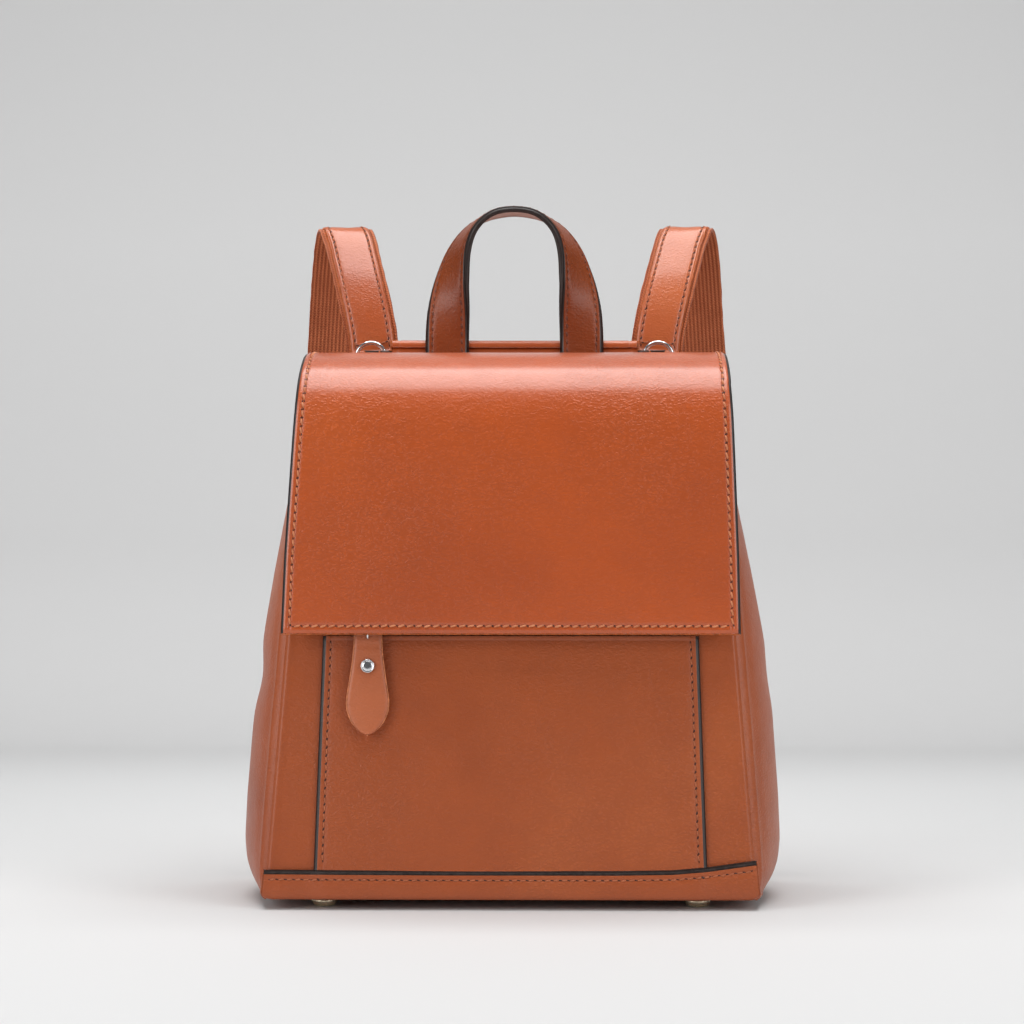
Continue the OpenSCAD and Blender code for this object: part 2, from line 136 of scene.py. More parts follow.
def leather(name, dark, mid, light, rough=0.42, grain=1.0, coat=0.45, pore=0.22, grain_scale=640.0, crease=1.0, spec=0.5, coat_rough=0.24):
    m = N(name); tc = m.n("ShaderNodeTexCoord").outputs["Object"]
    big = m.noise(tc, 7, 3, 0.5); med = m.noise(tc, 70, 4, 0.6); fine = m.noise(tc, 1500, 3, 0.6)
    # pebbled grain: small warped cells, drawn out a little along slanting lines
    warp = m.n("ShaderNodeTexNoise"); warp.inputs["Scale"].default_value = 190; warp.inputs["Detail"].default_value = 3; m.l(tc, warp.inputs["Vector"])
    add = m.n("ShaderNodeVectorMath", operation="MULTIPLY_ADD"); m.l(warp.outputs["Color"], add.inputs[0]); add.inputs[1].default_value = (0.0052, 0.0052, 0.0036); m.l(tc, add.inputs[2])
    mp = m.n("ShaderNodeMapping"); mp.inputs["Rotation"].default_value = (0.0, 0.5, 0.0); mp.inputs["Scale"].default_value = (0.72, 1.0, 1.15); m.l(add.outputs[0], mp.inputs["Vector"])
    vo = m.n("ShaderNodeTexVoronoi", feature="SMOOTH_F1"); vo.inputs["Scale"].default_value = grain_scale; vo.inputs["Smoothness"].default_value = 0.6; m.l(mp.outputs[0], vo.inputs["Vector"])
    peb = m.ramp(vo.outputs["Distance"], [(0.10, (1, 1, 1)), (0.62, (0, 0, 0))], "EASE")
    area = m.ramp(m.noise(tc, 9, 2, 0.5), [(0.36, (0.35, 0.35, 0.35)), (0.62, (1, 1, 1))])
    wr = m.noise(mp.outputs[0], 150, 4, 0.62, 0.8); soft = m.noise(tc, 26, 3, 0.5)
    h = m.math("ADD", m.math("MULTIPLY", m.math("MULTIPLY", peb, area), 0.75), m.math("MULTIPLY", fine, 0.3))
    b0 = m.bump(soft, 0.16 * crease, 0.0016)
    b1 = m.bump(wr, 0.55 * grain * crease, 0.0009, b0)
    b2 = m.bump(h, 0.62 * grain, 0.00055, b1)
    m.l(b2, m.b.inputs["Normal"])
    base = m.ramp(big, [(0.28, dark), (0.50, mid), (0.74, light)], "EASE")
    dk = tuple(v * 0.62 if i < 3 else 1 for i, v in enumerate(mid))
    base = m.mix(m.ramp(med, [(0.35, (0, 0, 0)), (0.75, (0.22, 0.22, 0.22))]), base, dk)
    pores = m.math("MULTIPLY", m.math("SUBTRACT", 1.0, peb), area)
    base = m.mix(m.math("MULTIPLY", pores, pore * grain), base, dk)
    m.l(base, m.b.inputs["Base Color"])
    r = m.ramp(m.math("ADD", m.math("MULTIPLY", med, 0.5), m.math("MULTIPLY", fine, 0.5)), [(0.3, (rough - 0.06,) * 3), (0.7, (rough + 0.07,) * 3)])
    m.l(r, m.b.inputs["Roughness"])
    m.set(Specular_IOR_Level=spec, Coat_Weight=coat, Coat_Roughness=coat_rough, IOR=1.5)
    return m.m
def edgepaint(name, c):
    m = N(name); tc = m.n("ShaderNodeTexCoord").outputs["Object"]
    f = m.noise(tc, 420, 4, 0.6)
    m.l(m.ramp(f, [(0.35, tuple(v * 0.7 if i < 3 else 1 for i, v in enumerate(c))), (0.75, tuple(min(1, v * 1.7) if i < 3 else 1 for i, v in enumerate(c)))]), m.b.inputs["Base Color"])
    m.l(m.ramp(f, [(0.3, (0.30,) * 3), (0.7, (0.48,) * 3)]), m.b.inputs["Roughness"])
    m.l(m.bump(f, 0.2, 0.0003), m.b.inputs["Normal"]); return m.m
def metal(name, c, rough, anis=0.0):
    m = N(name); tc = m.n("ShaderNodeTexCoord").outputs["Object"]
    f = m.noise(tc, 700, 3, 0.6); g = m.noise(tc, 90, 3, 0.5)
    m.l(m.ramp(g, [(0.3, tuple(v * 0.86 if i < 3 else 1 for i, v in enumerate(c))), (0.7, c)]), m.b.inputs["Base Color"])
    m.l(m.ramp(f, [(0.3, (max(0.02, rough - 0.05),) * 3), (0.7, (rough + 0.06,) * 3)]), m.b.inputs["Roughness"])
    m.l(m.bump(f, 0.04, 0.0001), m.b.inputs["Normal"]); m.set(Metallic=1.0); return m.m
def weave(name, c1, c2, pu, pv, bump=0.5, rough=0.85, rib=0.0, fuzz=0.3):
    """woven cloth from UVs in metres; pu, pv are thread pitches in metres"""
    m = N(name); uv = m.n("ShaderNodeUVMap").outputs[0]; sep = m.n("ShaderNodeSeparateXYZ"); m.l(uv, sep.inputs[0])
    tc = m.n("ShaderNodeTexCoord").outputs["Object"]
    jit = m.math("MULTIPLY", m.math("SUBTRACT", m.noise(tc, 500, 2), 0.5), 0.35)
    U = m.math("ADD", m.math("MULTIPLY", sep.outputs[0], 2 * math.pi / pu), jit); V = m.math("ADD", m.math("MULTIPLY", sep.outputs[1], 2 * math.pi / pv), jit)
    su = m.math("SINE", U); sv = m.math("SINE", V)
    chk = m.math("MULTIPLY", m.math("SINE", m.math("MULTIPLY", U, 0.5)), m.math("SINE", m.math("MULTIPLY", V, 0.5)))
    if rib: h = m.math("ADD", m.math("MULTIPLY", su, rib), m.math("MULTIPLY", m.math("SINE", m.math("ADD", V, m.math("MULTIPLY", su, 1.6))), 1 - rib))
    else: h = m.math("ADD", m.math("MULTIPLY", su, 0.25), m.math("ADD", m.math("MULTIPLY", sv, 0.25), m.math("MULTIPLY", chk, 0.5)))
    f = m.noise(tc, 1400, 3, 0.7); big = m.noise(tc, 45, 3)
    hh = m.math("ADD", m.math("MULTIPLY", h, 0.5), m.math("MULTIPLY", f, fuzz))
    col = m.mix(m.ramp(m.math("ADD", m.math("MULTIPLY", h, 0.5), 0.5), [(0.15, (0, 0, 0)), (0.8, (1, 1, 1))]), c1, c2)
    col = m.mix(m.ramp(big, [(0.35, (0, 0, 0)), (0.75, (0.5, 0.5, 0.5))]), col, c1)
    m.l(col, m.b.inputs["Base Color"]); m.l(m.bump(hh, bump, 0.0006), m.b.inputs["Normal"])
    m.set(Roughness=rough, Specular_IOR_Level=0.25); m.b.inputs["Sheen Weight"].default_value = 0.25; m.b.inputs["Sheen Roughness"].default_value = 0.5
    return m.m

FLAP = leather("flap_leather", lin(176, 72, 12), lin(190, 80, 14), lin(200, 88, 20), grain=1.0, spec=0.42, coat=0.95, pore=0.42, coat_rough=0.25)
LEATHER = leather("tan_leather", lin(150, 66, 20), lin(166, 77, 29), lin(178, 88, 38), grain=0.8, rough=0.46, coat=0.16, pore=0.32)
LEATHER_S = leather("strap_leather", lin(166, 74, 30), lin(186, 90, 40), lin(200, 106, 56), rough=0.38, grain=0.55, coat=0.6, grain_scale=760)
PULL = leather("pull_leather", lin(170, 88, 50), lin(190, 104, 64), lin(204, 120, 80), rough=0.46, grain=0.7, coat=0.12, grain_scale=620)
DARK = leather("dark_leather", lin(46, 24, 16), lin(66, 34, 22), lin(86, 48, 30), rough=0.5, grain=0.6, coat=0.2)
SUEDE = leather("leather_back", lin(172, 138, 126), lin(194, 162, 150), lin(206, 178, 166), rough=0.78, grain=0.8, coat=0.0, pore=0.2, grain_scale=1200, spec=0.3)
RAW = edgepaint("raw_edge", lin(190, 100, 52))
PAINT = edgepaint("edge_paint", lin(34, 22, 18))
NICKEL = metal("nickel", (0.80, 0.80, 0.82, 1), 0.16)
BRASS = metal("foot_brass", (0.86, 0.76, 0.55, 1), 0.30)
WEB = weave("webbing", lin(136, 62, 30), lin(206, 118, 76), 0.0024, 0.0016, bump=0.9, rib=0.55)
CLOTH = weave("lining_cloth", lin(112, 92, 66), lin(164, 142, 110), 0.0009, 0.0009, bump=0.35, fuzz=0.2)
TAPE = weave("zip_tape_cloth", lin(48, 28, 18), lin(92, 56, 36), 0.0010, 0.0014, bump=0.5)
def threadmat(name, c, d):
    m = N(name); tc = m.n("ShaderNodeTexCoord").outputs["Object"]; f = m.noise(tc, 2600, 3, 0.6); g = m.noise(tc, 160, 2)
    m.l(m.mix(m.ramp(m.math("ADD", m.math("MULTIPLY", f, 0.6), m.math("MULTIPLY", g, 0.4)), [(0.35, (0, 0, 0)), (0.65, (1, 1, 1))]), d, c), m.b.inputs["Base Color"])
    m.l(m.bump(f, 0.5, 0.0002), m.b.inputs["Normal"]); m.set(Roughness=0.62); m.b.inputs["Sheen Weight"].default_value = 0.2; return m.m
THREAD = threadmat("thread", lin(222, 142, 96), lin(176, 96, 52))
THREAD_D = threadmat("thread_dull", lin(190, 106, 62), lin(146, 76, 38))
THREAD_H = threadmat("thread_dark", lin(120, 58, 26), lin(86, 38, 16))
THREAD_P = threadmat("thread_pale", lin(232, 190, 160), lin(196, 130, 94))
# needle holes: dark brown discs laid on the leather at each stitch end, painted shade standing in for holes that are
# not cut
HOLE_SHADE = edgepaint("needle_hole_shade", lin(74, 30, 12))
BOARD = edgepaint("stiffener", lin(90, 76, 60))

# ---------------------------------------------------------------- mesh tools
COL = bpy.context.scene.collection
def mk(name, V, F, mats, midx=None, uv=None, body=None, rep=(), slot=None, smooth=True):
    me = bpy.data.meshes.new(name); V = np.asarray(V, float)
    me.from_pydata((V * MM).tolist(), [], [tuple(int(i) for i in f) for f in F])
    for m in mats: me.materials.append(m)
    if midx is not None: me.polygons.foreach_set("material_index", np.asarray(midx, np.int32))
    if uv is not None:
        L = me.uv_layers.new(name="UVMap"); vi = np.zeros(len(me.loops), np.int32); me.loops.foreach_get("vertex_index", vi)
        L.data.foreach_set("uv", (np.asarray(uv, float)[vi] * MM).astype(np.float32).ravel())
    me.polygons.foreach_set("use_smooth", [smooth] * len(me.polygons)); me.validate(); me.update()
    o = bpy.data.objects.new(name, me); COL.objects.link(o)
    if rep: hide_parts(*rep)
    if body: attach(o, body)
    return o
def gridn(P, sign=1):
    du = np.gradient(P, axis=0); dv = np.gradient(P, axis=1)
    return unit(np.cross(du, dv)) * sign
def sheet(name, P, t, mats, sign=1, Nn=None, inner=0, edges=(0, 0, 0, 0), paint=((), ()), uv=None, rnd=0.9, edge_seg=3, **kw):
    """closed leather sheet: P (nu,nv,3) is the outer face, t its thickness. edges: material of u0,u1,v0,v1 sides.
    paint: (mask function over face index (i,j)->material or None)"""
    nu, nv = P.shape[:2]; Nn = gridn(P, sign) if Nn is None else Nn
    t = np.broadcast_to(np.asarray(t, float), (nu, nv))
    Q = P - Nn * t[..., None]; V = [P.reshape(-1, 3), Q.reshape(-1, 3)]; nP = nu * nv
    if uv is None:
        du = np.r_[0, np.cumsum(np.linalg.norm(np.diff(P[:, nv // 2], axis=0), axis=1))]; dv = np.r_[0, np.cumsum(np.linalg.norm(np.diff(P[nu // 2], axis=0), axis=1))]
        uv = np.stack(np.meshgrid(du, dv, indexing="ij"), -1)
    uvl = [uv.reshape(-1, 2), uv.reshape(-1, 2)]
    idx = np.arange(nP).reshape(nu, nv); F, Mi = [], []
    a, b, c, d = idx[:-1, :-1], idx[1:, :-1], idx[1:, 1:], idx[:-1, 1:]
    quads = np.stack([a, b, c, d], -1).reshape(-1, 4)
    if sign < 0: quads = quads[:, ::-1]
    pm = np.zeros((nu - 1, nv - 1), int)
    if callable(paint): pm = paint(nu - 1, nv - 1)
    F += quads.tolist(); Mi += pm.reshape(-1).tolist()
    F += (quads[:, ::-1] + nP).tolist(); Mi += [inner] * len(quads)
    per = [(i, 0) for i in range(nu)] + [(nu - 1, j) for j in range(1, nv)] + [(i, nv - 1) for i in range(nu - 2, -1, -1)] + [(0, j) for j in range(nv - 2, 0, -1)]
    side = [2] * (nu - 1) + [1] * (nv - 1) + [3] * (nu - 1) + [0] * (nv - 1)
    O = np.zeros((len(per), 3))
    for k, (i, j) in enumerate(per):
        o = np.zeros(3)
        if i == 0: o += unit(P[0, j] - P[1, j])
        if i == nu - 1: o += unit(P[-1, j] - P[-2, j])
        if j == 0: o += unit(P[i, 0] - P[i, 1])
        if j == nv - 1: o += unit(P[i, -1] - P[i, -2])
        O[k] = o
    pi = np.array([i * nv + j for i, j in per]); PP, QQ = V[0][pi], V[1][pi]; NN = Nn.reshape(-1, 3)[pi]; tt = t.reshape(-1)[pi][:, None]
    mid = (PP + QQ) / 2; rings = [pi]; base = 2 * nP
    for k in range(1, edge_seg + 1):
        an = math.pi * k / (edge_seg + 1)
        V.append(mid + NN * tt / 2 * math.cos(an) + O * (tt / 2) * rnd * math.sin(an)); uvl.append(uv.reshape(-1, 2)[pi])
        rings.append(base + np.arange(len(per))); base += len(per)
    rings.append(pi + nP)
    for r0, r1 in zip(rings[:-1], rings[1:]):
        for k in range(len(per)):
            q = [r0[k], r1[k], r1[(k + 1) % len(per)], r0[(k + 1) % len(per)]]
            F.append(q if sign < 0 else q[::-1]); Mi.append(edges[side[k]])
    V = np.concatenate(V); uvl = np.concatenate(uvl)
    o = mk(name, V, F, mats, Mi, uvl, **kw)
    return o
def fixnormals(o):
    bm = bmesh.new(); bm.from_mesh(o.data); bmesh.ops.recalc_face_normals(bm, faces=bm.faces); bm.to_mesh(o.data); bm.free()
def spread(a, b, step, lines=(), edge=(0.6, 1.3, 2.2, 3.6, 5.5), tight=(0.5, 1.0, 1.7, 2.8)):
    c = set(np.linspace(a, b, max(2, int((b - a) / step) + 1)).tolist())
    for e in edge: c.add(a + e); c.add(b - e)
    for l in lines:
        c.add(l)
        for d in tight: c.add(l - d); c.add(l + d)
    c = sorted(v for v in c if a <= v <= b); out = [c[0]]
    for v in c[1:]:
        if v - out[-1] > 0.3: out.append(v)
    out[-1] = b
    return np.array(out)
def tube(name, C, W, Nv, prof, mats, midx=None, uvs=None, caps=True, closed=False, **kw):
    """sweep a closed profile [(a,b)] along C: point = C + W*a + N*b"""
    C, W, Nv = map(np.asarray, (C, W, Nv)); prof = np.asarray(prof, float); n, k = len(C), prof.shape[-2]
    pr = np.broadcast_to(prof, (n, k, 2))
    V = C[:, None] + W[:, None] * pr[..., :1] + Nv[:, None] * pr[..., 1:]
    s = np.r_[0, np.cumsum(np.linalg.norm(np.diff(C, axis=0), axis=1))]
    per = np.r_[0, np.cumsum(np.linalg.norm(np.diff(pr[0], axis=0), axis=1))]
    uv = np.stack(np.broadcast_arrays(pr[..., 0], s[:, None]), -1) if uvs is None else uvs
    F, Mi = [], []
    m = n if closed else n - 1
    for i in range(m):
        for j in range(k):
            F.append([i * k + j, i * k + (j + 1) % k, ((i + 1) % n) * k + (j + 1) % k, ((i + 1) % n) * k + j]); Mi.append(midx[j] if midx else 0)
    if caps and not closed:
        F.append(list(range(k))[::-1]); Mi.append(midx[0] if midx else 0); F.append([(n - 1) * k + j for j in range(k)]); Mi.append(midx[0] if midx else 0)
    o = mk(name, V.reshape(-1, 3), F, mats, Mi, uv.reshape(-1, 2), **kw); fixnormals(o)
    return o
def rrect(w, t, r, seg=3, nw=6, crown=0.0):
    """rounded rectangle profile w x t, with a crowned top (+b side)"""
    r = min(r, t / 2 - 1e-3, w / 2 - 1e-3); pts = []
    for cx, cy, a0 in ((w / 2 - r, t / 2 - r, 0), (-w / 2 + r, t / 2 - r, 90), (-w / 2 + r, -t / 2 + r, 180), (w / 2 - r, -t / 2 + r, 270)):
        for k in range(seg + 1):
            a = math.radians(a0 + 90 * k / seg); pts.append((cx + r * math.cos(a), cy + r * math.sin(a)))
        if a0 in (0, 180):
            x0, y0 = pts[-1]; x1 = -x0
            for k in range(1, nw): pts.append((x0 + (x1 - x0) * k / nw, y0))
    return [(x, y + (crown * (1 - (2 * x / w) ** 2) if y > 0 else 0)) for x, y in pts]
def lathe(name, prof, seg, mats, origin=(0, 0, 0), axis=(0, 0, 1), **kw):
    prof = np.array(prof, float); k = len(prof); ax = unit(axis); h = np.array([1.0, 0, 0]) if abs(ax[0]) < 0.9 else np.array([0, 1.0, 0])
    e1 = unit(np.cross(ax, h)); e2 = np.cross(ax, e1); V = []
    for i in range(seg):
        a = 2 * math.pi * i / seg; d = e1 * math.cos(a) + e2 * math.sin(a)
        V += [np.array(origin) + d * r + ax * z for r, z in prof]
    F = []
    for i in range(seg):
        j = (i + 1) % seg
        for q in range(k - 1): F.append([i * k + q, j * k + q, j * k + q + 1, i * k + q + 1])
    bm_o = mk(name, V, F, mats, **kw)
    bm = bmesh.new(); bm.from_mesh(bm_o.data); bmesh.ops.remove_doubles(bm, verts=bm.verts, dist=1e-6)
    bmesh.ops.recalc_face_normals(bm, faces=bm.faces); bm.to_mesh(bm_o.data); bm.free(); bm_o.data.polygons.foreach_set("use_smooth", [True] * len(bm_o.data.polygons))
    return bm_o
def torus(R, r, nseg=72, mseg=18):
    V, F = [], []
    for i in range(nseg):
        a = 2 * math.pi * i / nseg
        for j in range(mseg):
            b = 2 * math.pi * j / mseg; V.append(((R + r * math.cos(b)) * math.cos(a), r * math.sin(b), (R + r * math.cos(b)) * math.sin(a)))
            F.append([i * mseg + j, ((i + 1) % nseg) * mseg + j, ((i + 1) % nseg) * mseg + (j + 1) % mseg, i * mseg + (j + 1) % mseg])
    return np.array(V), F
def join_parts(parts):
    V, F, M, off = [], [], [], 0
    for v, f, m in parts:
        V.append(v); F += [[i + off for i in q] for q in f]; M += [m] * len(f); off += len(v)
    return np.concatenate(V), F, M
_SV = None
def stitch_unit(L, w, h, nl=8, nr=8):
    """one thread stitch: a fat, slightly humped capsule along x"""
    V, F = [], []
    for i in range(nl + 1):
        t = i / nl; x = (t - 0.5) * L; e = max(0.06, math.sin(math.pi * t) ** 0.45); z = -0.35 * h + h * 0.75 * math.sin(math.pi * t) ** 0.6
        for j in range(nr):
            a = 2 * math.pi * j / nr; V.append((x, w / 2 * e * math.cos(a), z + h / 2 * e * math.sin(a)))
    for i in range(nl):
        for j in range(nr): F.append([i * nr + j, i * nr + (j + 1) % nr, (i + 1) * nr + (j + 1) % nr, (i + 1) * nr + j])
    F.append(list(range(nr))[::-1]); F.append([nl * nr + j for j in range(nr)]); return np.array(V), F
# a small dark disc just proud of the surface: painted shade of a needle hole
def hole_shade_unit(r, nr=8):
    V = [(0, 0, 0.10)] + [(r * math.cos(2 * math.pi * j / nr), 0.7 * r * math.sin(2 * math.pi * j / nr), 0.05) for j in range(nr)] + [(0, 0, -0.5)]
    F = [[0, 1 + j, 1 + (j + 1) % nr] for j in range(nr)] + [[nr + 1, 1 + (j + 1) % nr, 1 + j] for j in range(nr)]
    return np.array(V), F
def stitches(name, rows, pitch=4.9, L=3.9, w=1.05, h=0.8, slant=10, mat=None, hole_shades=True, **kw):
    """rows: list of (points, normals). Stitches lie on the surface along each row."""
    parts = []; su = stitch_unit(L, w, h); hu = hole_shade_unit(0.75)
    for P, Nv in rows:
        P = np.asarray(P, float); Nv = np.asarray(Nv, float)
        d = np.r_[0, np.cumsum(np.linalg.norm(np.diff(P, axis=0), axis=1))]; n = max(1, int(d[-1] / pitch)); off = (d[-1] - n * pitch) / 2
        for k in range(n):
            s = off + (k + 0.5) * pitch
            g = lambda A, q: np.array([np.interp(q, d, A[:, c]) for c in range(3)])
            p = g(P, s); nn = unit(g(Nv, s)); tt = unit(g(P, min(s + 0.5, d[-1])) - g(P, max(s - 0.5, 0))); bb = np.cross(nn, tt)
            a = math.radians(slant + rng.uniform(-3, 3)); t2 = tt * math.cos(a) + bb * math.sin(a); b2 = np.cross(nn, t2)
            j = rng.uniform(-0.12, 0.12, 2)
            V = p + t2 * su[0][:, :1] + b2 * su[0][:, 1:2] + nn * su[0][:, 2:] + tt * j[0] + bb * j[1]
            parts.append((V, su[1], 0))
            # painted shade: a dark disc at each end of the stitch, in place of a needle hole
            if hole_shades:
                for e in (-1, 1):
                    q = p + t2 * e * (L / 2 + 0.25); Vh = q + t2 * hu[0][:, :1] + b2 * hu[0][:, 1:2] + nn * hu[0][:, 2:]; parts.append((Vh, hu[1], 1))
    V, F, M = join_parts(parts)
    return mk(name, V, F, [mat or THREAD, HOLE_SHADE], M, **kw)

# ================================================================ BODY
S_TOP = (RF - ZB) / math.cos(TILT)
def wfs(s): return wf(ZB + s * math.cos(TILT))
def puff(x, s):
    """soft swell of the front, millimetres outward"""
    return 1.3 * np.clip(1 - (x / 128) ** 2, 0, 1) * np.sin(np.clip(s / 165, 0, 1) * math.pi) ** 1.0 + 0.35 * wav(x, s, 3, 60) * np.clip(s / 30, 0, 1)

# front panel: plain leather to the side seams, its side edges turned back over the seam
def build_front_panel():
    xs = np.concatenate([[-1.0, -0.9975, -0.994, -0.989, -0.982, -0.972, -0.96], np.linspace(-0.945, 0.945, 56), [0.96, 0.972, 0.982, 0.989, 0.994, 0.9975, 1.0]])
    ss = np.concatenate([[2.8, 4, 6], np.linspace(9, S_TOP - 4, 66), [S_TOP - 2, S_TOP]])
    X, S = np.meshgrid(xs, ss, indexing="ij"); W = wfs(S); x = X * (W - 0.4)
    d = (1 - np.abs(X)) * W                       # distance to the side edge
    r = 3.4; roll = np.where(d < r, r - np.sqrt(np.clip(r * r - (r - d) ** 2, 0, None)), 0) * 0.75
    ridge = -0.75 * np.exp(-((d - 2.6) / 1.5) ** 2)
    yp = roll + ridge - puff(x, S)
    P = front(x, yp, S)
    sheet("front_panel_leather", P, 2.0, [LEATHER, LEATHER, RAW], sign=1, uv=np.stack([x, S], -1), body="root", rep=("front_panel",), slot="tan_leather")
build_front_panel()

# patch pocket with painted side edges
def pkw(s): return 111 + (106 - 111) * s / 154
POCKET_T, POCKET_B = 149.0, 17.2
def band_top(x): return np.interp(x, [-139, -40, 60, 92, 112, 139], [16.8, 16.4, 16.5, 17.0, 18.6, 22.3])
def build_pocket():
    fr = np.concatenate([np.array([0, 0.5, 1.0, 1.6, 2.2, 3.0, 3.7, 4.4, 5.1, 6.2, 8, 10.5, 14]), np.linspace(18, 204, 56)])
    full = np.concatenate([fr, 222 - fr[:13][::-1]])
    ss = np.concatenate([np.linspace(0, 1, 48)])
    U, Vv = np.meshgrid(full / 222 * 2 - 1, ss, indexing="ij")
    S = band_top(U * 111) - 1.6 + Vv * (POCKET_T - band_top(U * 111) + 1.6); x = U * pkw(S)
    d = (1 - np.abs(U)) * 111
    gro = 0.42 * np.exp(-((d - 4.4) / 0.85) ** 2); tuck = 0.9 * np.exp(-(d / 1.1) ** 2)
    yp = -2.7 - puff(x, S) - 0.5 * (1 - np.exp(-(np.maximum(d - 4, 0) / 6) ** 2)) + gro + tuck
    P = front(x, yp, S)
    def paint(nu, nv):
        m = np.zeros((nu, nv), int); m[:3] = 1; m[-3:] = 1; return m
    sheet("pocket_leather", P, 1.7, [LEATHER, PAINT, RAW], sign=1, edges=(1, 1, 0, 2), paint=paint, uv=np.stack([x, S], -1), body="root", rep=("pocket_panel",), slot="tan_leather")
    rows = []
    for sg in (-1, 1):
        s = np.linspace(POCKET_B + 3.5, POCKET_T - 2, 90); x = sg * (pkw(s) - 4.4)
        yp = -2.7 - puff(x, s) + 0.30
        rows.append((front(x, yp, s), np.tile([0, -math.cos(TILT), math.sin(TILT)], (90, 1))))
    stitches("pocket_stitches", rows, pitch=4.6, L=3.5, w=0.95, h=0.7, mat=THREAD_D, body="root", slot="tan_leather")
build_pocket()

# bottom band, wrapping under the base, with a painted top edge
def build_band():
    xs = spread(-140.2, 140.2, 4.0)
    ds = np.array([0, 0.45, 0.9, 1.5, 2.1, 2.8, 3.4, 4.0, 4.6, 5.2, 5.9, 7.2, 9, 11, 13, 15])     # distance below the top edge
    X = np.repeat(xs[:, None], len(ds) + 9, 1); P = np.zeros((len(xs), len(ds) + 9, 3)); UV = np.zeros((len(xs), len(ds) + 9, 2))
    for i, x in enumerate(xs):
        T = float(band_top(x)); rr = 3.2
        inp = 1.0 / (1 + math.exp(-(pkw(17) - abs(x)) / 1.2))
        for j, d in enumerate(ds):
            s = T - d * (T - rr) / ds[-1] if d > 6 else T - d
            s = max(s, rr) if j == len(ds) - 1 else s
            gro = 0.4 * math.exp(-((d - 4.9) / 0.8) ** 2); tuck = 0.7 * math.exp(-(d / 1.2) ** 2)
            base = -3.1 - 1.15 * inp
            yp = base - 0.35 + gro + tuck + 0.25 * float(wav(x, d, 5, 45)) - 0.3 * math.sin(math.pi * min(1, d / 15))
            P[i, j] = front(x, yp, s); UV[i, j] = (x, s)
        j0 = len(ds); c = P[i, j0 - 1]
        for k in range(1, 6):
            a = math.pi / 2 * k / 5; P[i, j0 + k - 1] = c + np.array([0, rr * (1 - math.cos(a)), -rr * math.sin(a) * 0.9]); UV[i, j0 + k - 1] = (x, -k)
        e = P[i, j0 + 4]
        for k in range(4): P[i, j0 + 5 + k] = e + np.array([0, 4.0 * (k + 1), 0.15 * (k + 1)]); UV[i, j0 + 5 + k] = (x, -6 - 4 * k)
    P[:, :, 0] *= 1 - 0.0006 * np.clip(P[:, :, 2] - ZB, 0, None)
    P[:, :, 2] += 2.4 * np.clip((np.abs(xs) - 134) / 6.2, 0, 1)[:, None] ** 2 * np.clip((12 - P[:, :, 2]) / 8, 0, 1)
    P = P[:, ::-1]; UV = UV[:, ::-1]
    def paint(nu, nv):
        m = np.zeros((nu, nv), int); m[:, -4:] = 1; return m
    sheet("bottom_band_leather", P, 1.9, [LEATHER, PAINT, RAW], sign=1, edges=(0, 0, 0, 1), paint=paint, uv=UV, body="root", rep=("bottom_band",), slot="tan_leather")
    x = np.linspace(-137, 137, 120); inp = 1.0 / (1 + np.exp(-(pkw(17) - np.abs(x)) / 1.2)); s = band_top(x) - 4.9
    yp = -3.1 - 1.15 * inp - 0.35 + 0.12 + 0.25 * wav(x, 4.9, 5, 45)
    stitches("band_stitches", [(front(x, yp, s), np.tile([0, -math.cos(TILT), math.sin(TILT)], (120, 1)))], pitch=4.7, L=3.5, w=0.95, h=0.7, slant=8, mat=THREAD_D, body="root", slot="tan_leather")
build_band()

# side gussets: one bulged sheet each, with a turned seam at front and back
def gusset(side):
    NU, NV = 46, 78
    u = np.concatenate([[0, 0.006, 0.012, 0.02, 0.03, 0.042, 0.056, 0.072, 0.092], np.linspace(0.115, 0.885, 32), [0.908, 0.928, 0.944, 0.958, 0.97, 0.98, 0.988, 0.994, 1.0]])
    v = np.linspace(0, 1, NV) ** 1.25
    U, Vv = np.meshgrid(u, v, indexing="ij")
    zt = RF + (RB - RF) * U + 5 * np.sin(math.pi * U); z0 = ZB + 1.6
    z = z0 + Vv * (zt - z0); ya = yf(z) + 1.2; yc = yb(z) - 1.2; D = yc - ya
    w = wf(z) + (wb(z) - wf(z)) * U; gu = np.sin(math.pi * U) ** 0.85
    df = U * D; db = (1 - U) * D
    seam = -1.6 * np.exp(-(df / 1.5) ** 2) + 1.7 * np.exp(-((df - 4.2) / 2.6) ** 2) - 0.7 * np.exp(-((df - 11) / 4.0) ** 2)
    seam += -1.2 * np.exp(-(db / 1.6) ** 2) + 1.3 * np.exp(-((db - 4.0) / 2.6) ** 2)
    fade = np.clip((z - 6) / 14, 0, 1)
    soft = 1.1 * wav(df, z, 11 if side < 0 else 12, 42) * gu * fade
    # a soft dent where the gusset folds inward above the base, and a vertical fold line higher up
    dent = -2.6 * np.exp(-((z - 128) / 16) ** 2) * np.exp(-((U - 0.42) / 0.25) ** 2) * (1.0 if side < 0 else 0.35)
    crease = -2.4 * np.exp(-((U - 0.5) / 0.07) ** 2) * np.clip((z - 150) / 90, 0, 1)
    x = w - 0.4 + bulge(z) * gu + seam * fade + soft + dent + crease
    y = ya + D * U + YO
    P = np.stack([side * x, y, z], -1)
    uv = np.stack([df, z], -1)
    nm = ("left" if side < 0 else "right")
    sheet(nm + "_gusset_leather", P, 1.9, [LEATHER, RAW], sign=-1 if side < 0 else 1, edges=(0, 0, 0, 1), uv=uv, body="root", rep=(nm + "_gusset",), slot="tan_leather")
gusset(-1); gusset(1)

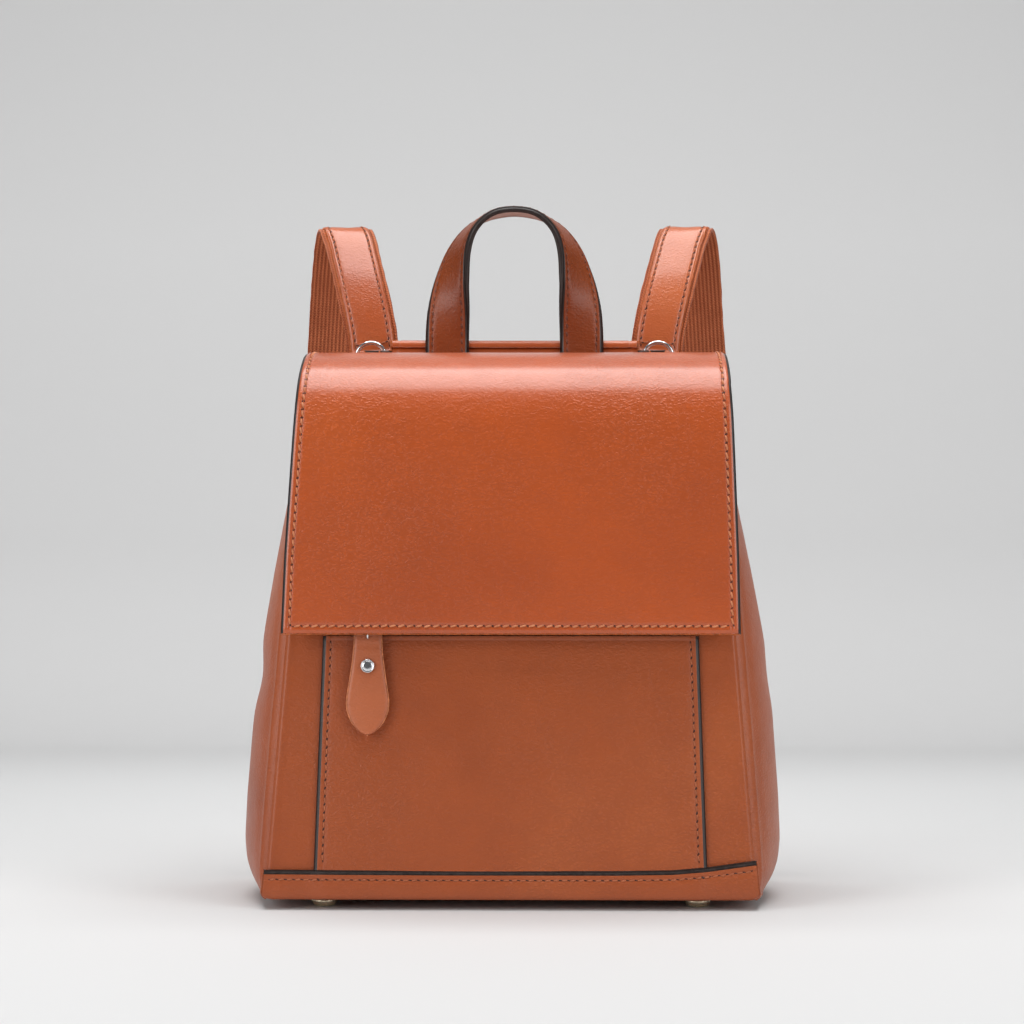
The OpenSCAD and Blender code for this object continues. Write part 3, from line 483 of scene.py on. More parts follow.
# back panel, base, back band
def backp(x, out, s):
    a = math.atan(TB); x, out, s = np.broadcast_arrays(x, out, s)
    return np.stack([x, YB0 + YO + out * math.cos(a) - s * math.sin(a), ZB + out * math.sin(a) + s * math.cos(a)], -1)
def build_back():
    H = (RB + 3 - ZB); xs = np.linspace(-1, 1, 66); xs = np.sign(xs) * np.abs(xs) ** 0.85; ss = np.concatenate([[2.6, 4, 6], np.linspace(9, H - 3, 64), [H - 1.5, H]])
    X, S = np.meshgrid(xs, ss, indexing="ij"); W = 143 + (118 - 143) * S / H; x = X * (W - 0.4); d = (1 - np.abs(X)) * W
    roll = np.where(d < 3.2, 3.2 - np.sqrt(np.clip(3.2 ** 2 - (3.2 - d) ** 2, 0, None)), 0) * 0.75
    out = -roll + 0.9 * np.clip(1 - X ** 2, 0, 1) * np.sin(math.pi * np.clip(S / H, 0, 1)) + 0.3 * wav(x, S, 21, 55) * np.clip(S / 30, 0, 1) * np.clip((H - S) / 20, 0, 1)
    sheet("back_panel_leather", backp(x, out, S), 1.9, [LEATHER, RAW], sign=-1, edges=(0, 0, 0, 1), uv=np.stack([x, S], -1), body="root", rep=("back_panel",), slot="tan_leather")
    # band along the foot of the back
    xs = spread(-142.4, 142.4, 5.0); ss = np.array([0.4, 1.2, 2.4, 4, 7, 11, 15, 17.5, 18.3, 18.9, 19.5, 20.2, 21.4, 22.3, 23.2, 23.8])
    X, S = np.meshgrid(xs, ss, indexing="ij")
    out = 2.3 - 1.6 * np.clip((2.4 - S) / 2.4, 0, 1) ** 2 - 0.4 * np.exp(-((S - 18.9) / 0.8) ** 2) - 0.5 * np.exp(-((23.8 - S) / 1.0) ** 2)
    def paint(nu, nv):
        m = np.zeros((nu, nv), int); m[:, -2:] = 1; return m
    sheet("back_band_leather", backp(X * (1 - 0.0006 * S), out, S), 1.8, [LEATHER, PAINT], sign=-1, edges=(0, 0, 0, 1), paint=paint, uv=np.stack([X, S], -1), body="root", rep=("back_band",), slot="tan_leather")
    x = np.linspace(-138, 138, 120); s = np.full(120, 18.9); n = np.tile([0, math.cos(math.atan(TB)), math.sin(math.atan(TB))], (120, 1))
    stitches("back_band_stitches", [(backp(x, 1.9 + 0.25, s), n)], pitch=4.7, L=3.5, w=0.95, h=0.7, body="root", slot="tan_leather")
    # base
    xs = np.linspace(-1, 1, 60); ys = np.linspace(0, 1, 34); X, V_ = np.meshgrid(xs, ys, indexing="ij")
    y = -71.5 + V_ * 141.2; hw = np.interp(y, [-72, -50, 0, 50, 70], [139, 142.8, 147, 145.5, 142.4]); x = X * hw
    z = ZB + 0.15 + 0.5 * (1 - np.clip((1 - np.abs(X)) * 12, 0, 1)) ** 2 + 0.5 * (1 - np.clip(np.minimum(V_, 1 - V_) * 12, 0, 1)) ** 2 + 0.08 * wav(x, y, 31, 40)
    sheet("base_leather", np.stack([x, y + YO, z], -1), 1.9, [LEATHER, RAW], sign=-1, uv=np.stack([x, y], -1), body="root", rep=("base_panel",), slot="tan_leather")
build_back()

# lining tub and rim facing
def tub(name, z0, z1, a, b, floor, mat, rep, slot, nz=40):
    n = 26
    def ring(z, ins, wob=0.0):
        A = wf(z) - ins; C = wb(z) - ins; ya = yf(z) + ins + 0.1; yc = yb(z) - ins - 0.1; u = np.linspace(0, 1, n)
        y = ya + (yc - ya) * u; gu = np.sin(math.pi * u) ** 0.85; df = u * (yc - ya) + ins; xs_ = []
        for s_ in (-1, 1):      # the lining follows the gusset's dents, always a little inside it
            soft = 1.1 * wav(df, z, 11 if s_ < 0 else 12, 42) * gu * min(max((z - 6) / 14, 0.0), 1.0)
            dent = -2.6 * math.exp(-((z - 128) / 16) ** 2) * np.exp(-((u - 0.42) / 0.25) ** 2) * (1.0 if s_ < 0 else 0.35)
            crease = -2.4 * np.exp(-((u - 0.5) / 0.07) ** 2) * min(max((z - 150) / 90, 0.0), 1.0)
            xs_.append(A + (C - A) * u + bulge(z) * gu + np.minimum(soft, 0.5) + dent + crease - 0.7 * np.exp(-((df - 11) / 4.0) ** 2) - 0.9 * gu - 0.2)
        xl, xr = xs_
        fx = np.linspace(-1, 1, 40)[1:-1]
        R = [(x_, y_) for x_, y_ in zip(xr, y)] + [(-f * xr[-1], y[-1]) for f in fx] + [(-x_, y_) for x_, y_ in zip(xl[::-1], y[::-1])] + [(f * xr[0], y[0]) for f in fx]
        R = np.array(R); L = np.arange(len(R))
        off = wob * wav(L * 4.0, z, 41, 26); c = np.array([0, (ya + yc) / 2]); d = unit(R - c); R = R - d * np.maximum(off, -0.3)[:, None]
        return np.c_[R[:, 0], R[:, 1] + YO, np.full(len(R), z)]
    Z = z0 + (z1 - z0) * np.linspace(0, 1, nz) ** 1.15
    rings = [ring(z, a) for z in Z] + [ring(Z[-1] + 0.4, (a + b) / 2)] + [ring(z, b, 1.0 if floor else 0.0) for z in Z[::-1] if (z > z0 + (b - a) or not floor)]
    if floor: rings.append(ring(z0 + (b - a), b))
    k = len(rings[0]); V = np.concatenate(rings); F = []
    for i in range(len(rings) - 1):
        for j in range(k): F.append([i * k + j, i * k + (j + 1) % k, (i + 1) * k + (j + 1) % k, (i + 1) * k + j])
    if floor: F.append(list(range(k))[::-1]); F.append([(len(rings) - 1) * k + j for j in range(k)])
    else:
        m = len(rings) - 1
        for j in range(k): F.append([m * k + j, m * k + (j + 1) % k, (j + 1) % k, j])
    uv = np.stack([np.tile(np.r_[0, np.cumsum(np.linalg.norm(np.diff(rings[0][:, :2], axis=0), axis=1))], len(rings)), V[:, 2]], -1)
    if floor: uv[-k:] = V[-k:, :2]
    o = mk(name, V, F, [mat], None, uv, body="root", rep=rep, slot=slot); fixnormals(o); return o
tub("lining_tub", ZB + 4.6, 294, 2.8, 3.6, True, CLOTH, ("lining",), "lining_cloth")
tub("rim_facing_leather", 262, 296.5, 3.8, 5.2, False, LEATHER, ("rim_facing",), "tan_leather", nz=14)
def build_board():
    xs = np.concatenate([[-1, -0.995, -0.985, -0.97], np.linspace(-0.94, 0.94, 30), [0.97, 0.985, 0.995, 1]]); ys = np.linspace(-1, 1, 20); X, Y = np.meshgrid(xs, ys, indexing="ij")
    cut = 1 - 0.05 * np.clip((np.abs(Y) - 0.8) / 0.2, 0, 1) ** 2
    P = np.stack([X * (137 + 2 * Y) * cut, Y * 65.5 - 1 + YO, ZB + 2.6 + 0.05 * wav(X * 130, Y * 60, 61, 50)], -1)
    sheet("base_board_sheet", P, 1.5, [BOARD], sign=-1, uv=np.stack([X * 138, Y * 65], -1), body="root", rep=("base_board",), slot="board")
build_board()

# ================================================================ FLAP
FP = catmull([[50, 314], [34, 315.6], [14, 316.8], [-8, 317.3], [-26, 316.2], [-41, 312.2], [-54, 304.8], [-63.5, 294], [-69, 280], [-71.4, 262], [-72.6, 236], [-73.4, 204], [-74, 176], [-74.2, 155.6]], 10)
FPr, FL = resample(FP, step=2.6)
FN = np.gradient(FPr, axis=0); FN = unit(FN); FNn = np.stack([-FN[:, 1], FN[:, 0]], -1) * -1      # outward normal in (y,z)
LTOT = FL[-1]
def fw_at(l):
    y = np.interp(l, FL, FPr[:, 0]); z = np.interp(l, FL, FPr[:, 1])
    drop = np.interp(z, [154, 200, 280, 300, 312], [129, 127, 121.8, 120.6, 119.6]); top = np.interp(y, [-41, 50], [119.6, 118])
    return np.where(l < np.interp(41, -FPr[:, 0], FL), top, drop)
def fright(l):
    """how much further the right side reaches than the left, up the flap"""
    y = np.interp(l, FL, FPr[:, 0]); z = np.interp(l, FL, FPr[:, 1])
    return np.where(y > -60, np.interp(z, [290, 305, 312], [3.4, 4.0, 4.2]), np.interp(z, [154, 200, 280, 292], [0.2, 1.2, 3.4, 3.5]))
def fx(U, l, ins=0.0):
    """across the flap: U -1..1, ins in from the edge"""
    U, l = np.broadcast_arrays(np.asarray(U, float), np.asarray(l, float)); W = fw_at(l) - ins
    return U * W + fright(l) * (U + 1) / 2, W + fright(l) / 2
def flap_pt(x, l, lift):
    y = np.interp(l, FL, FPr[:, 0]); z = np.interp(l, FL, FPr[:, 1]); ny = np.interp(l, FL, FNn[:, 0]); nz = np.interp(l, FL, FNn[:, 1])
    return np.stack([x, y + YO + ny * lift, z + nz * lift], -1), np.stack([np.zeros_like(x), ny, nz], -1)
L_SPLIT = float(np.interp(-12, -FPr[:, 0], FL))       # a join across the top, at y = +12
SIDE_ST, END_ST = 4.2, 4.2
def flap_lift(x, l, W):
    d = W - np.abs(x); e = LTOT - l
    d = np.minimum(x + W, W + fright(l) - x)
    lift = 0.5 * wav(x, l, 51, 70) * np.clip(l / 30, 0, 1) + 0.16 * wav(x, l, 52, 16) * np.clip(1 - np.abs(x + 60) / 90, 0, 1)
    lift = lift * np.clip((l - L_SPLIT) / 20, 0, 1)
    lift = lift - 0.45 * np.exp(-((d - SIDE_ST) / 0.9) ** 2) - 0.45 * np.exp(-((e - END_ST) / 0.9) ** 2) * (d > SIDE_ST - 1)
    lift = lift - 0.9 * np.exp(-(d / 1.3) ** 2) - 0.5 * np.exp(-(e / 1.2) ** 2)
    return lift
def flap_sheet(name, l0, l1, ls, mats, t, base, inset, paint_side, edges, rep, slot, blend, uvflip=False):
    fr = np.array([0, 0.45, 0.9, 1.4, 2.0, 2.6, 3.1, 3.6, 4.2, 4.8, 5.4, 6.2, 7.6, 11, 15.5])
    cx = np.concatenate([fr, np.linspace(20, 222, 74), 242 - fr[::-1]]) / 242 * 2 - 1
    U, L = np.meshgrid(cx, ls, indexing="ij"); W = fw_at(L) - inset; x = fx(U, L, inset)[0]
    P, Nn = flap_pt(x, L, flap_lift(x, L, W) - base if base == 0 else 0.25 * wav(x, L, 53, 60) * 0.5 - base)
    def paint(nu, nv):
        m = np.zeros((nu, nv), int)
        if paint_side: m[:paint_side] = 1; m[-paint_side:] = 1
        return m
    o = sheet(name, P, t, mats, sign=-1, Nn=None, edges=edges, paint=paint, uv=np.stack([x, L], -1), rep=rep, slot=slot)
    if blend[0] == "blend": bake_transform(o)
    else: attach(o, blend[1])
    return o
BL_H = ("blend", "root", "flap_top", (0, (57 + YO) * MM, 0.312), (0, (36 + YO) * MM, 0.315))
BL_F = ("blend", "flap_top", "flap_front", (0, (-8 + YO) * MM, 0.317), (0, (-62 + YO) * MM, 0.296))
ls_rear = np.linspace(0, L_SPLIT, 18)
ls_front = np.concatenate([np.arange(L_SPLIT, LTOT - 9, 2.4), LTOT - np.array([8, 6.4, 5.5, 4.9, 4.2, 3.5, 2.9, 2.1, 1.3, 0.7, 0.3, 0])])
flap_sheet("flap_rear_leather", 0, L_SPLIT, ls_rear, [FLAP, PAINT, RAW], 1.8, 0, 0, 2, (1, 1, 0, 0), ("flap_top_leather",), "tan_leather", BL_H)
flap_sheet("flap_leather", L_SPLIT, LTOT, ls_front, [FLAP, PAINT, RAW], 1.8, 0, 0, 2, (1, 1, 0, 2), ("flap_front_leather",), "tan_leather", BL_F)
li = np.array([0.0]); 
flap_sheet("flap_rear_lining", 0, L_SPLIT, ls_rear, [CLOTH, PAINT], 1.1, 1.95, 1.2, 0, (1, 1, 0, 0), ("flap_top_lining",), "lining_cloth", BL_H)
flap_sheet("flap_lining", L_SPLIT, LTOT - 1.5, np.append(ls_front[ls_front < LTOT - 2.0], LTOT - 1.5), [CLOTH, PAINT, RAW], 1.1, 1.95, 1.2, 0, (1, 1, 0, 2), ("flap_front_lining",), "lining_cloth", BL_F)
def flap_stitches():
    rows_f, rows_r = [], []
    for sg in (-1, 1):
        l = np.linspace(L_SPLIT + 2, LTOT - END_ST, 160); W = fw_at(l); x = sg * (W - SIDE_ST) + (fright(l) if sg > 0 else 0)
        P, n = flap_pt(x, l, flap_lift(x, l, W) + 0.12); rows_f.append((P, n) if sg > 0 else (P[::-1], n[::-1]))
        l = np.linspace(3, L_SPLIT - 1, 40); W = fw_at(l); x = sg * (W - SIDE_ST) + (fright(l) if sg > 0 else 0); P, n = flap_pt(x, l, flap_lift(x, l, W) + 0.12); rows_r.append((P, n))
    W = fw_at(np.array(LTOT - END_ST)); x = np.linspace(-(W - SIDE_ST), W - SIDE_ST, 200); l = np.full(200, LTOT - END_ST)
    P, n = flap_pt(x, l, flap_lift(x, l, W) + 0.12); rows_f.append((P, n))
    o = stitches("flap_stitches", rows_f, pitch=4.9, L=4.3, w=1.2, h=0.9, slant=15, slot="tan_leather"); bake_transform(o)
    o = stitches("flap_rear_stitches", rows_r, pitch=4.8, L=3.9, w=1.15, h=0.85, slant=13, slot="tan_leather"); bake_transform(o)
flap_stitches()
# strip that carries the flap's rear edge down onto the back
def build_seam_strip():
    xs = spread(-117, 117, 5); pr = np.array([[50.2, 313.9], [52, 313.8], [54, 313.4], [56, 312.5], [57.6, 310.8], [58.6, 308.4], [59.0, 305], [59.1, 300], [59.3, 296]])
    P = np.stack([np.repeat(xs[:, None], len(pr), 1), np.tile(pr[:, 0] + YO + 0.5, (len(xs), 1)), np.tile(pr[:, 1], (len(xs), 1))], -1)
    sheet("flap_seam_leather", P, 1.6, [LEATHER, PAINT], sign=-1 if gridn(P)[3, 1][2] < 0 else 1, edges=(1, 1, 0, 1), body="root", rep=("flap_seam_strip",), slot="tan_leather")
build_seam_strip()

# ================================================================ ZIP, PULL, SNAP
FNRM = np.array([0, -math.cos(TILT), math.sin(TILT)]); FUP = np.array([0, math.sin(TILT), math.cos(TILT)]); FX = np.array([1.0, 0, 0])
def build_zip():
    # leather facing above the zip and the cloth tape
    xs = spread(-106, 106, 4); ss = np.array([159, 159.5, 160.2, 161.2, 162.2, 163, 164.5, 167, 170, 172.4, 173])
    X, S = np.meshgrid(xs, ss, indexing="ij")
    yp = -2.6 - puff(X, S) * 0.9 + 0.35 * np.exp(-((S - 162.2) / 0.8) ** 2) + 0.5 * np.exp(-((S - 159) / 0.8) ** 2)
    def paint(nu, nv):
        m = np.zeros((nu, nv), int); m[:, :2] = 1; return m
    sheet("zip_facing_leather", front(X, yp, S), 1.4, [LEATHER, PAINT], sign=1, edges=(1, 1, 1, 1), paint=paint, uv=np.stack([X, S], -1), body="root", rep=("zip_facing",), slot="tan_leather")
    x = np.linspace(-103, 103, 100); s = np.full(100, 162.2)
    stitches("zip_facing_stitches", [(front(x, -2.3 - puff(x, s) * 0.9, s), np.tile(FNRM, (100, 1)))], pitch=4.6, L=3.4, w=0.9, h=0.6, body="root", slot="tan_leather")
    xs = spread(-99, 99, 3); ss = np.linspace(140, 170, 40); X, S = np.meshgrid(xs, ss, indexing="ij")
    yp = -0.95 - puff(X, S) * 0.9 - 0.12 * np.sin(S * 2.2)
    sheet("zip_tape_cloth", front(X, yp, S), 0.7, [TAPE], sign=1, uv=np.stack([X, S], -1), body="root", rep=("zip_tape",), slot="zip_tape")
    # the teeth: two rows of small interlocked metal hooks along two cords
    parts = []; pitch = 2.1; n = int(186 / pitch)
    bx = [(-0.72, -1.9), (0.72, -1.9), (0.86, -0.6), (0.86, 1.6), (0.45, 2.9), (-0.45, 2.9), (-0.86, 1.6), (-0.86, -0.6)]
    k = len(bx)
    for i in range(n):
        for row in (0, 1):
            xc = -90 + 1 + (i + 0.5 * row) * pitch; sg = 1 if row == 0 else -1
            V = []
            for q, (h, g) in enumerate(((-0.75, 0.86), (-0.95, 1.0), (0.55, 1.0), (0.85, 0.8))):
                for (a, b) in bx: V.append(front(xc + a * g * 0.98, -1.95 - h - puff(xc, 154) * 0.9, 154.0 - sg * 0.75 + sg * b * (g if b < 0 else (0.96 if q in (0, 3) else 1))))
            F = []
            for q in range(3):
                for j in range(k): F.append([q * k + j, q * k + (j + 1) % k, (q + 1) * k + (j + 1) % k, (q + 1) * k + j])
            F.append(list(range(k))[::-1]); F.append([3 * k + j for j in range(k)]); parts.append((np.array(V), F, 0))
    V, F, M = join_parts(parts); o = mk("zip_teeth", V, F, [NICKEL], M, body="root", rep=("zip_chain",), slot="nickel", smooth=False); fixnormals(o)
    # end stops
    parts = []
    for xc in (-91.7, 99.7):
        for sg in (-1, 1):
            prof = rrect(1.9, 1.7, 0.6, 3, 2); V = []
            for q, s in enumerate(np.linspace(-2.4, 2.4, 7)):
                g = 1 - 0.25 * abs(s / 2.4) ** 4
                for a, b in prof: V.append(front(xc + a * g, -1.9 - b * g - puff(xc, 154) * 0.9, 154 + sg * 1.6 + s * 0.5))
            k = len(prof); F = []
            for q in range(6):
                for j in range(k): F.append([q * k + j, q * k + (j + 1) % k, (q + 1) * k + (j + 1) % k, (q + 1) * k + j])
            F.append(list(range(k))[::-1]); F.append([6 * k + j for j in range(k)]); parts.append((np.array(V), F, 0))
    V, F, M = join_parts(parts); o = mk("zip_end_stops", V, F, [NICKEL], M, body="root", rep=("zip_stops",), slot="nickel"); fixnormals(o)
build_zip()

def build_pull():
    top, Ln = 149.3, 56.0; XC = -80.6
    HWD = [0, 6, 14, 24, 33, 38, 43, 48, 51.5, 54, 55.3, 56]; HWV = [7.4, 7.5, 8.2, 9.6, 11.0, 11.6, 11.1, 9.3, 7.1, 4.8, 2.9, 1.1]
    ds = np.unique(np.r_[0, 0.5, 1.1, 2, 3, np.linspace(4.5, 50, 34), np.linspace(50, 56, 12)]); U = np.array([-1, -0.985, -0.95, -0.9, -0.82, -0.7, -0.55, -0.4, -0.2, 0, 0.2, 0.4, 0.55, 0.7, 0.82, 0.9, 0.95, 0.985, 1])
    hw = np.interp(ds, HWD, HWV); k = np.array([1, 2, 1]) / 4.0; hs = hw.copy(); hs[1:-1] = np.convolve(hw, k, "valid"); hs[-3:] = hw[-3:]
    dd = ds[::-1]; hh = hs[::-1]
    X = XC + U[:, None] * hh[None, :]; S = top - np.repeat(dd[None, :], len(U), 0)
    D = np.repeat(dd[None, :], len(U), 0); Uu = np.repeat(U[:, None], len(dd), 1)
    yp = -9.0 + 0.35 * Uu ** 2 + 0.45 * np.exp(-((D - 6.2) / 0.9) ** 2) - 0.25 * np.exp(-((D - 9.5) / 2.0) ** 2) + 0.12 * wav(X, D, 71, 12)
    yp = yp + 0.5 * np.exp(-((1 - np.abs(Uu)) * 9 / 0.7) ** 2) + 0.4 * np.exp(-(((X - XC) ** 2 + (D - 17.5) ** 2) / 40))
    # the upper end has a ridge and a crease in yp (set above) where it folds over the bar; its thickness stays even
    P = front(X, yp, S)
    o = sheet("zip_pull_leather", P, 2.2, [PULL, RAWP], sign=1, edges=(1, 1, 1, 1), uv=np.stack([X, S], -1), edge_seg=4, rep=("zip_pull",), slot="tan_leather"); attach(o, "zip_pull")
    pts = front(XC, -9.15, 131.8)
    prof = [(0, 1.55), (0.8, 1.545), (1.5, 1.52), (2.2, 1.44), (2.6, 1.33), (2.85, 1.15), (2.95, 0.95), (3.1, 0.92), (3.3, 1.1), (3.55, 1.15), (3.8, 0.95), (3.95, 0.55), (3.95, 0.1), (3.7, 0.0), (1.5, 0.0), (0.0, 0.0)]
    o = lathe("pull_rivet_cap", prof, 48, [NICKEL], origin=pts, axis=FNRM, rep=("pull_rivet",), slot="nickel"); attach(o, "zip_pull")
RAWP = edgepaint("raw_edge_pale", lin(208, 128, 88))
build_pull()

def build_snap():
    s0 = 192.0; c = front(0, -0.1, s0)
    prof = [(0, 5.3), (6, 5.28), (9, 5.2), (12.4, 4.95), (13.4, 4.55), (14.2, 4.75), (15.6, 4.6), (16.6, 3.9), (17.0, 2.6), (17.0, 0.4), (16.7, 0.0), (0, 0.0)]
    lathe("snap_patch_leather", prof, 72, [LEATHER], origin=c, axis=FNRM, body="root", rep=("snap_patch",), slot="tan_leather")
    a = np.linspace(0, 2 * math.pi, 120); P = c + FX * np.cos(a)[:, None] * 13.4 + FUP * np.sin(a)[:, None] * 13.4 + FNRM * 4.75
    stitches("snap_patch_stitches", [(P, np.tile(FNRM, (120, 1)))], pitch=4.4, L=3.2, w=0.9, h=0.6, body="root", slot="tan_leather")
    c = front(0, -5.6, s0)
    prof = [(0, 0.9), (2.4, 0.9), (2.7, 1.1), (2.9, 3.1), (3.4, 3.55), (5.0, 3.6), (6.6, 3.3), (7.4, 2.4), (7.8, 1.4), (8.7, 1.0), (9.0, 0.6), (8.9, 0.0), (0, 0)]
    lathe("snap_socket_metal", prof, 64, [NICKEL], origin=c, axis=FNRM, body="root", rep=("snap_socket",), slot="nickel")
build_snap()

# ================================================================ FEET
parts = []
for sx in (-1, 1):
    for y in (-56, 54):
        prof = [(0, 0.0), (3.4, 0.05), (5.4, 0.5), (6.6, 1.4), (7.3, 2.6), (7.5, 3.6), (7.3, 4.4), (6.6, 4.9), (0, 4.9)]
        seg = 48; V, F = [], []; k = len(prof)
        for i in range(seg):
            a_ = 2 * math.pi * i / seg
            V += [(sx * 106 + r * math.cos(a_), y + YO + r * math.sin(a_), z) for r, z in prof]
        for i in range(seg):
            j = (i + 1) % seg
            for q in range(k - 1): F.append([i * k + q, j * k + q, j * k + q + 1, i * k + q + 1])
        parts.append((np.array(V), F, 0))
V, F, M = join_parts(parts); o = mk("purse_feet", V, F, [BRASS], M, body="root", rep=("feet",), slot="foot_brass")
bm = bmesh.new(); bm.from_mesh(o.data); bmesh.ops.remove_doubles(bm, verts=bm.verts, dist=1e-6); bmesh.ops.recalc_face_normals(bm, faces=bm.faces); bm.to_mesh(o.data); bm.free()

# ================================================================ HANDLE
HLP = [(-41, 276), (-41, 310), (-41, 333), (-40.2, 352), (-38.4, 366.8), (-34.4, 383.4), (-27, 396.7), (-15, 405.5), (0, 408.3)]
HLP = HLP + [(-x, z) for x, z in HLP[:-1][::-1]]
HY = 62.4
def build_handle():
    C, _ = resample(catmull(HLP, 10), step=2.2); n = len(C)
    T = unit(np.gradient(C, axis=0)); zz = C[:, 1]
    ang = np.radians(np.interp(zz, [276, 330, 345, 363, 382, 395, 407.3], [0, 0, 12, 36, 58, 74, 90]))
    left = C[:, 0] < 0
    Cx = np.stack([C[:, 0], np.full(n, HY + YO), C[:, 1]], -1)
    T3 = np.stack([T[:, 0], np.zeros(n), T[:, 1]], -1)
    # inward direction in the plane of the loop (towards the opening)
    inn = np.stack([T[:, 1], np.zeros(n), -T[:, 0]], -1)
    Y = np.array([0, -1.0, 0])
    W = inn * np.cos(ang)[:, None] + Y * np.sin(ang)[:, None]          # points to the inner edge, turning to the front at the top
    Nn = np.cross(T3, W); Nn = unit(Nn)                                # outer (good) face
    Nn = Nn * np.sign((Nn * (Y * np.cos(ang)[:, None] - inn * np.sin(ang)[:, None])).sum(1))[:, None]
    us = np.array([-12, -11.55, -11.1, -10.6, -10.1, -9.5, -9.0, -8.5, -7.9, -6, -3, 0, 3, 6, 7.9, 8.5, 9.0, 9.5, 10.1, 10.6, 11.1, 11.55, 12.0])
    gro = 0.35 * np.exp(-((np.abs(us) - 9.0) / 0.7) ** 2) + 0.55 * np.exp(-((12 - np.abs(us)) / 0.7) ** 2) - 0.35 * np.clip(1 - (us / 12) ** 2, 0, 1)
    P = Cx[None] + W[None] * us[:, None, None] + Nn[None] * (1.7 - gro)[:, None, None] + Nn[None] * 0.12 * wav(us[:, None, None] * 1.0, np.arange(n)[None, :, None] * 2.2, 81, 14)
    Nf = np.repeat(Nn[None], len(us), 0)
    sg = 1 if (gridn(P)[10, n // 2] @ Nn[n // 2]) > 0 else -1
    def paint(nu, nv):
        m = np.zeros((nu, nv), int); m[:2] = 1; m[-2:] = 1; return m
    o = sheet("handle_leather", P, 3.4, [HANDLE, PAINT, SUEDE], sign=sg, Nn=Nf, inner=2, edges=(1, 1, 0, 0), paint=paint, edge_seg=4, rep=("handle", "handle_ends"), slot="tan_leather")
    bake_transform(o)
    rows = []
    for u in (-9.0, 9.0): rows.append(((Cx + W * u + Nn * 1.42)[2:-2], Nn[2:-2]))
    o = stitches("handle_stitches", rows, pitch=4.8, L=3.7, w=1.0, h=0.75, slant=10, mat=THREAD_H, slot="tan_leather"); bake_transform(o)
HANDLE = leather("handle_leather", lin(116, 48, 10), lin(136, 60, 14), lin(156, 72, 20), rough=0.44, grain=0.8, coat=0.2, spec=0.4)
build_handle()

# ================================================================ YOKE
def build_yoke():
    # a band behind the handle, its upper edge rolled forward
    pr = []
    for z in np.linspace(268, 322, 20): pr.append((67.6, z))
    for k in range(0, 19):
        a = math.radians(-5 + 215 * k / 18); pr.append((67.0 + 2.9 * math.cos(a) - 0.2, 327.0 - 0.6 + 2.9 * math.sin(a)))
    pr = np.array(pr); xs = spread(-75, 75, 3.0, lines=(-70.5, 70.5))
    n = gridn(np.stack([np.repeat(xs[:, None], len(pr), 1), np.tile(pr[:, 0], (len(xs), 1)), np.tile(pr[:, 1], (len(xs), 1))], -1))
    X = np.repeat(xs[:, None], len(pr), 1); P = np.stack([X, np.tile(pr[:, 0] + YO, (len(xs), 1)), np.tile(pr[:, 1], (len(xs), 1)) + 0.25 * wav(X, 0 * X, 91, 40)], -1)
    sg = 1 if n[5, 3][1] > 0 else -1
    P = P - n * sg * (0.35 * np.exp(-((np.abs(X) - 70.5) / 0.8) ** 2))[..., None]
    sheet("yoke_leather", P, 2.2, [LEATHER_S, RAW], sign=sg, edges=(1, 1, 0, 1), body="root", rep=("yoke_band",), slot="tan_leather")
    rows = []
    for sgx in (-1, 1):
        z = np.linspace(270, 322, 40); rows.append((np.stack([np.full(40, sgx * 70.5), np.full(40, 67.6 + YO + 0.1), z], -1), np.tile([0, 1.0, 0], (40, 1))))
    x = np.linspace(-72, 72, 60); rows.append((np.stack([x, np.full(60, 67.6 + YO + 0.25), np.full(60, 271.0)], -1), np.tile([0, 1.0, 0], (60, 1))))
    rows.append((np.stack([x, np.full(60, 67.6 + YO + 0.25), np.full(60, 318.0)], -1), np.tile([0, 1.0, 0], (60, 1))))
    stitches("yoke_stitches", rows, pitch=4.6, L=3.4, w=0.9, h=0.7, body="root", slot="tan_leather")
build_yoke()
V, F = torus(9.0, 1.2, 80, 18); VV = np.concatenate([V + np.array([sx * 87.8, 66.1 + YO, 319]) for sx in (-1, 1)])
o = mk("top_rings_wire", VV, F + [[i + len(V) for i in f] for f in F], [NICKEL], body="root", rep=("top_rings",), slot="nickel"); fixnormals(o)

# ================================================================ SHOULDER STRAPS
SP = catmull([[-87.3, 76, 322], [-88.4, 76.2, 334], [-91.6, 78.6, 350], [-95.8, 84.8, 367], [-99.8, 93.4, 382], [-103.4, 102.8, 394.5], [-107.2, 111.2, 400.8], [-110.2, 118.6, 396], [-112.6, 123.8, 380], [-114.8, 126.6, 350], [-117, 127.3, 312], [-120.2, 127.5, 262], [-123.2, 125, 212], [-126, 119, 166]], 12)
LP = catmull([[-125.8, 113.4, 166], [-126.1, 109.8, 136], [-126.3, 103, 104], [-126.3, 95, 72], [-126.2, 88, 48], [-126.1, 85.2, 35.4]], 12)
def strap_frame(P, side, step):
    C, s = resample(P, step=step); C = C * np.array([-side, 1, 1]) + np.array([0, YO, 0]); T = unit(np.gradient(C, axis=0))
    X = np.array([1.0, 0, 0]); W = unit(X - (T @ X)[:, None] * T); return C, s, T, W, np.cross(T, W)
def across(w, lines):
    """positions across a strip of width w, denser at the edges and at the stitch lines"""
    h = w / 2; c = {0.0, h, -h}
    for e in (0.35, 0.75, 1.2, 1.8): c |= {h - e, e - h}
    for l in lines:
        for d in (-1.2, -0.7, -0.3, 0, 0.3, 0.7, 1.2): c |= {l + d, -l + d}
    for q in np.linspace(-h + 3.5, h - 3.5, 9): c.add(float(q))
    c = sorted(v for v in c if abs(v) <= h + 1e-9); out = [c[0]]
    for v in c[1:]:
        if v - out[-1] > 0.12: out.append(v)
    out[-1] = h; return np.array(out)
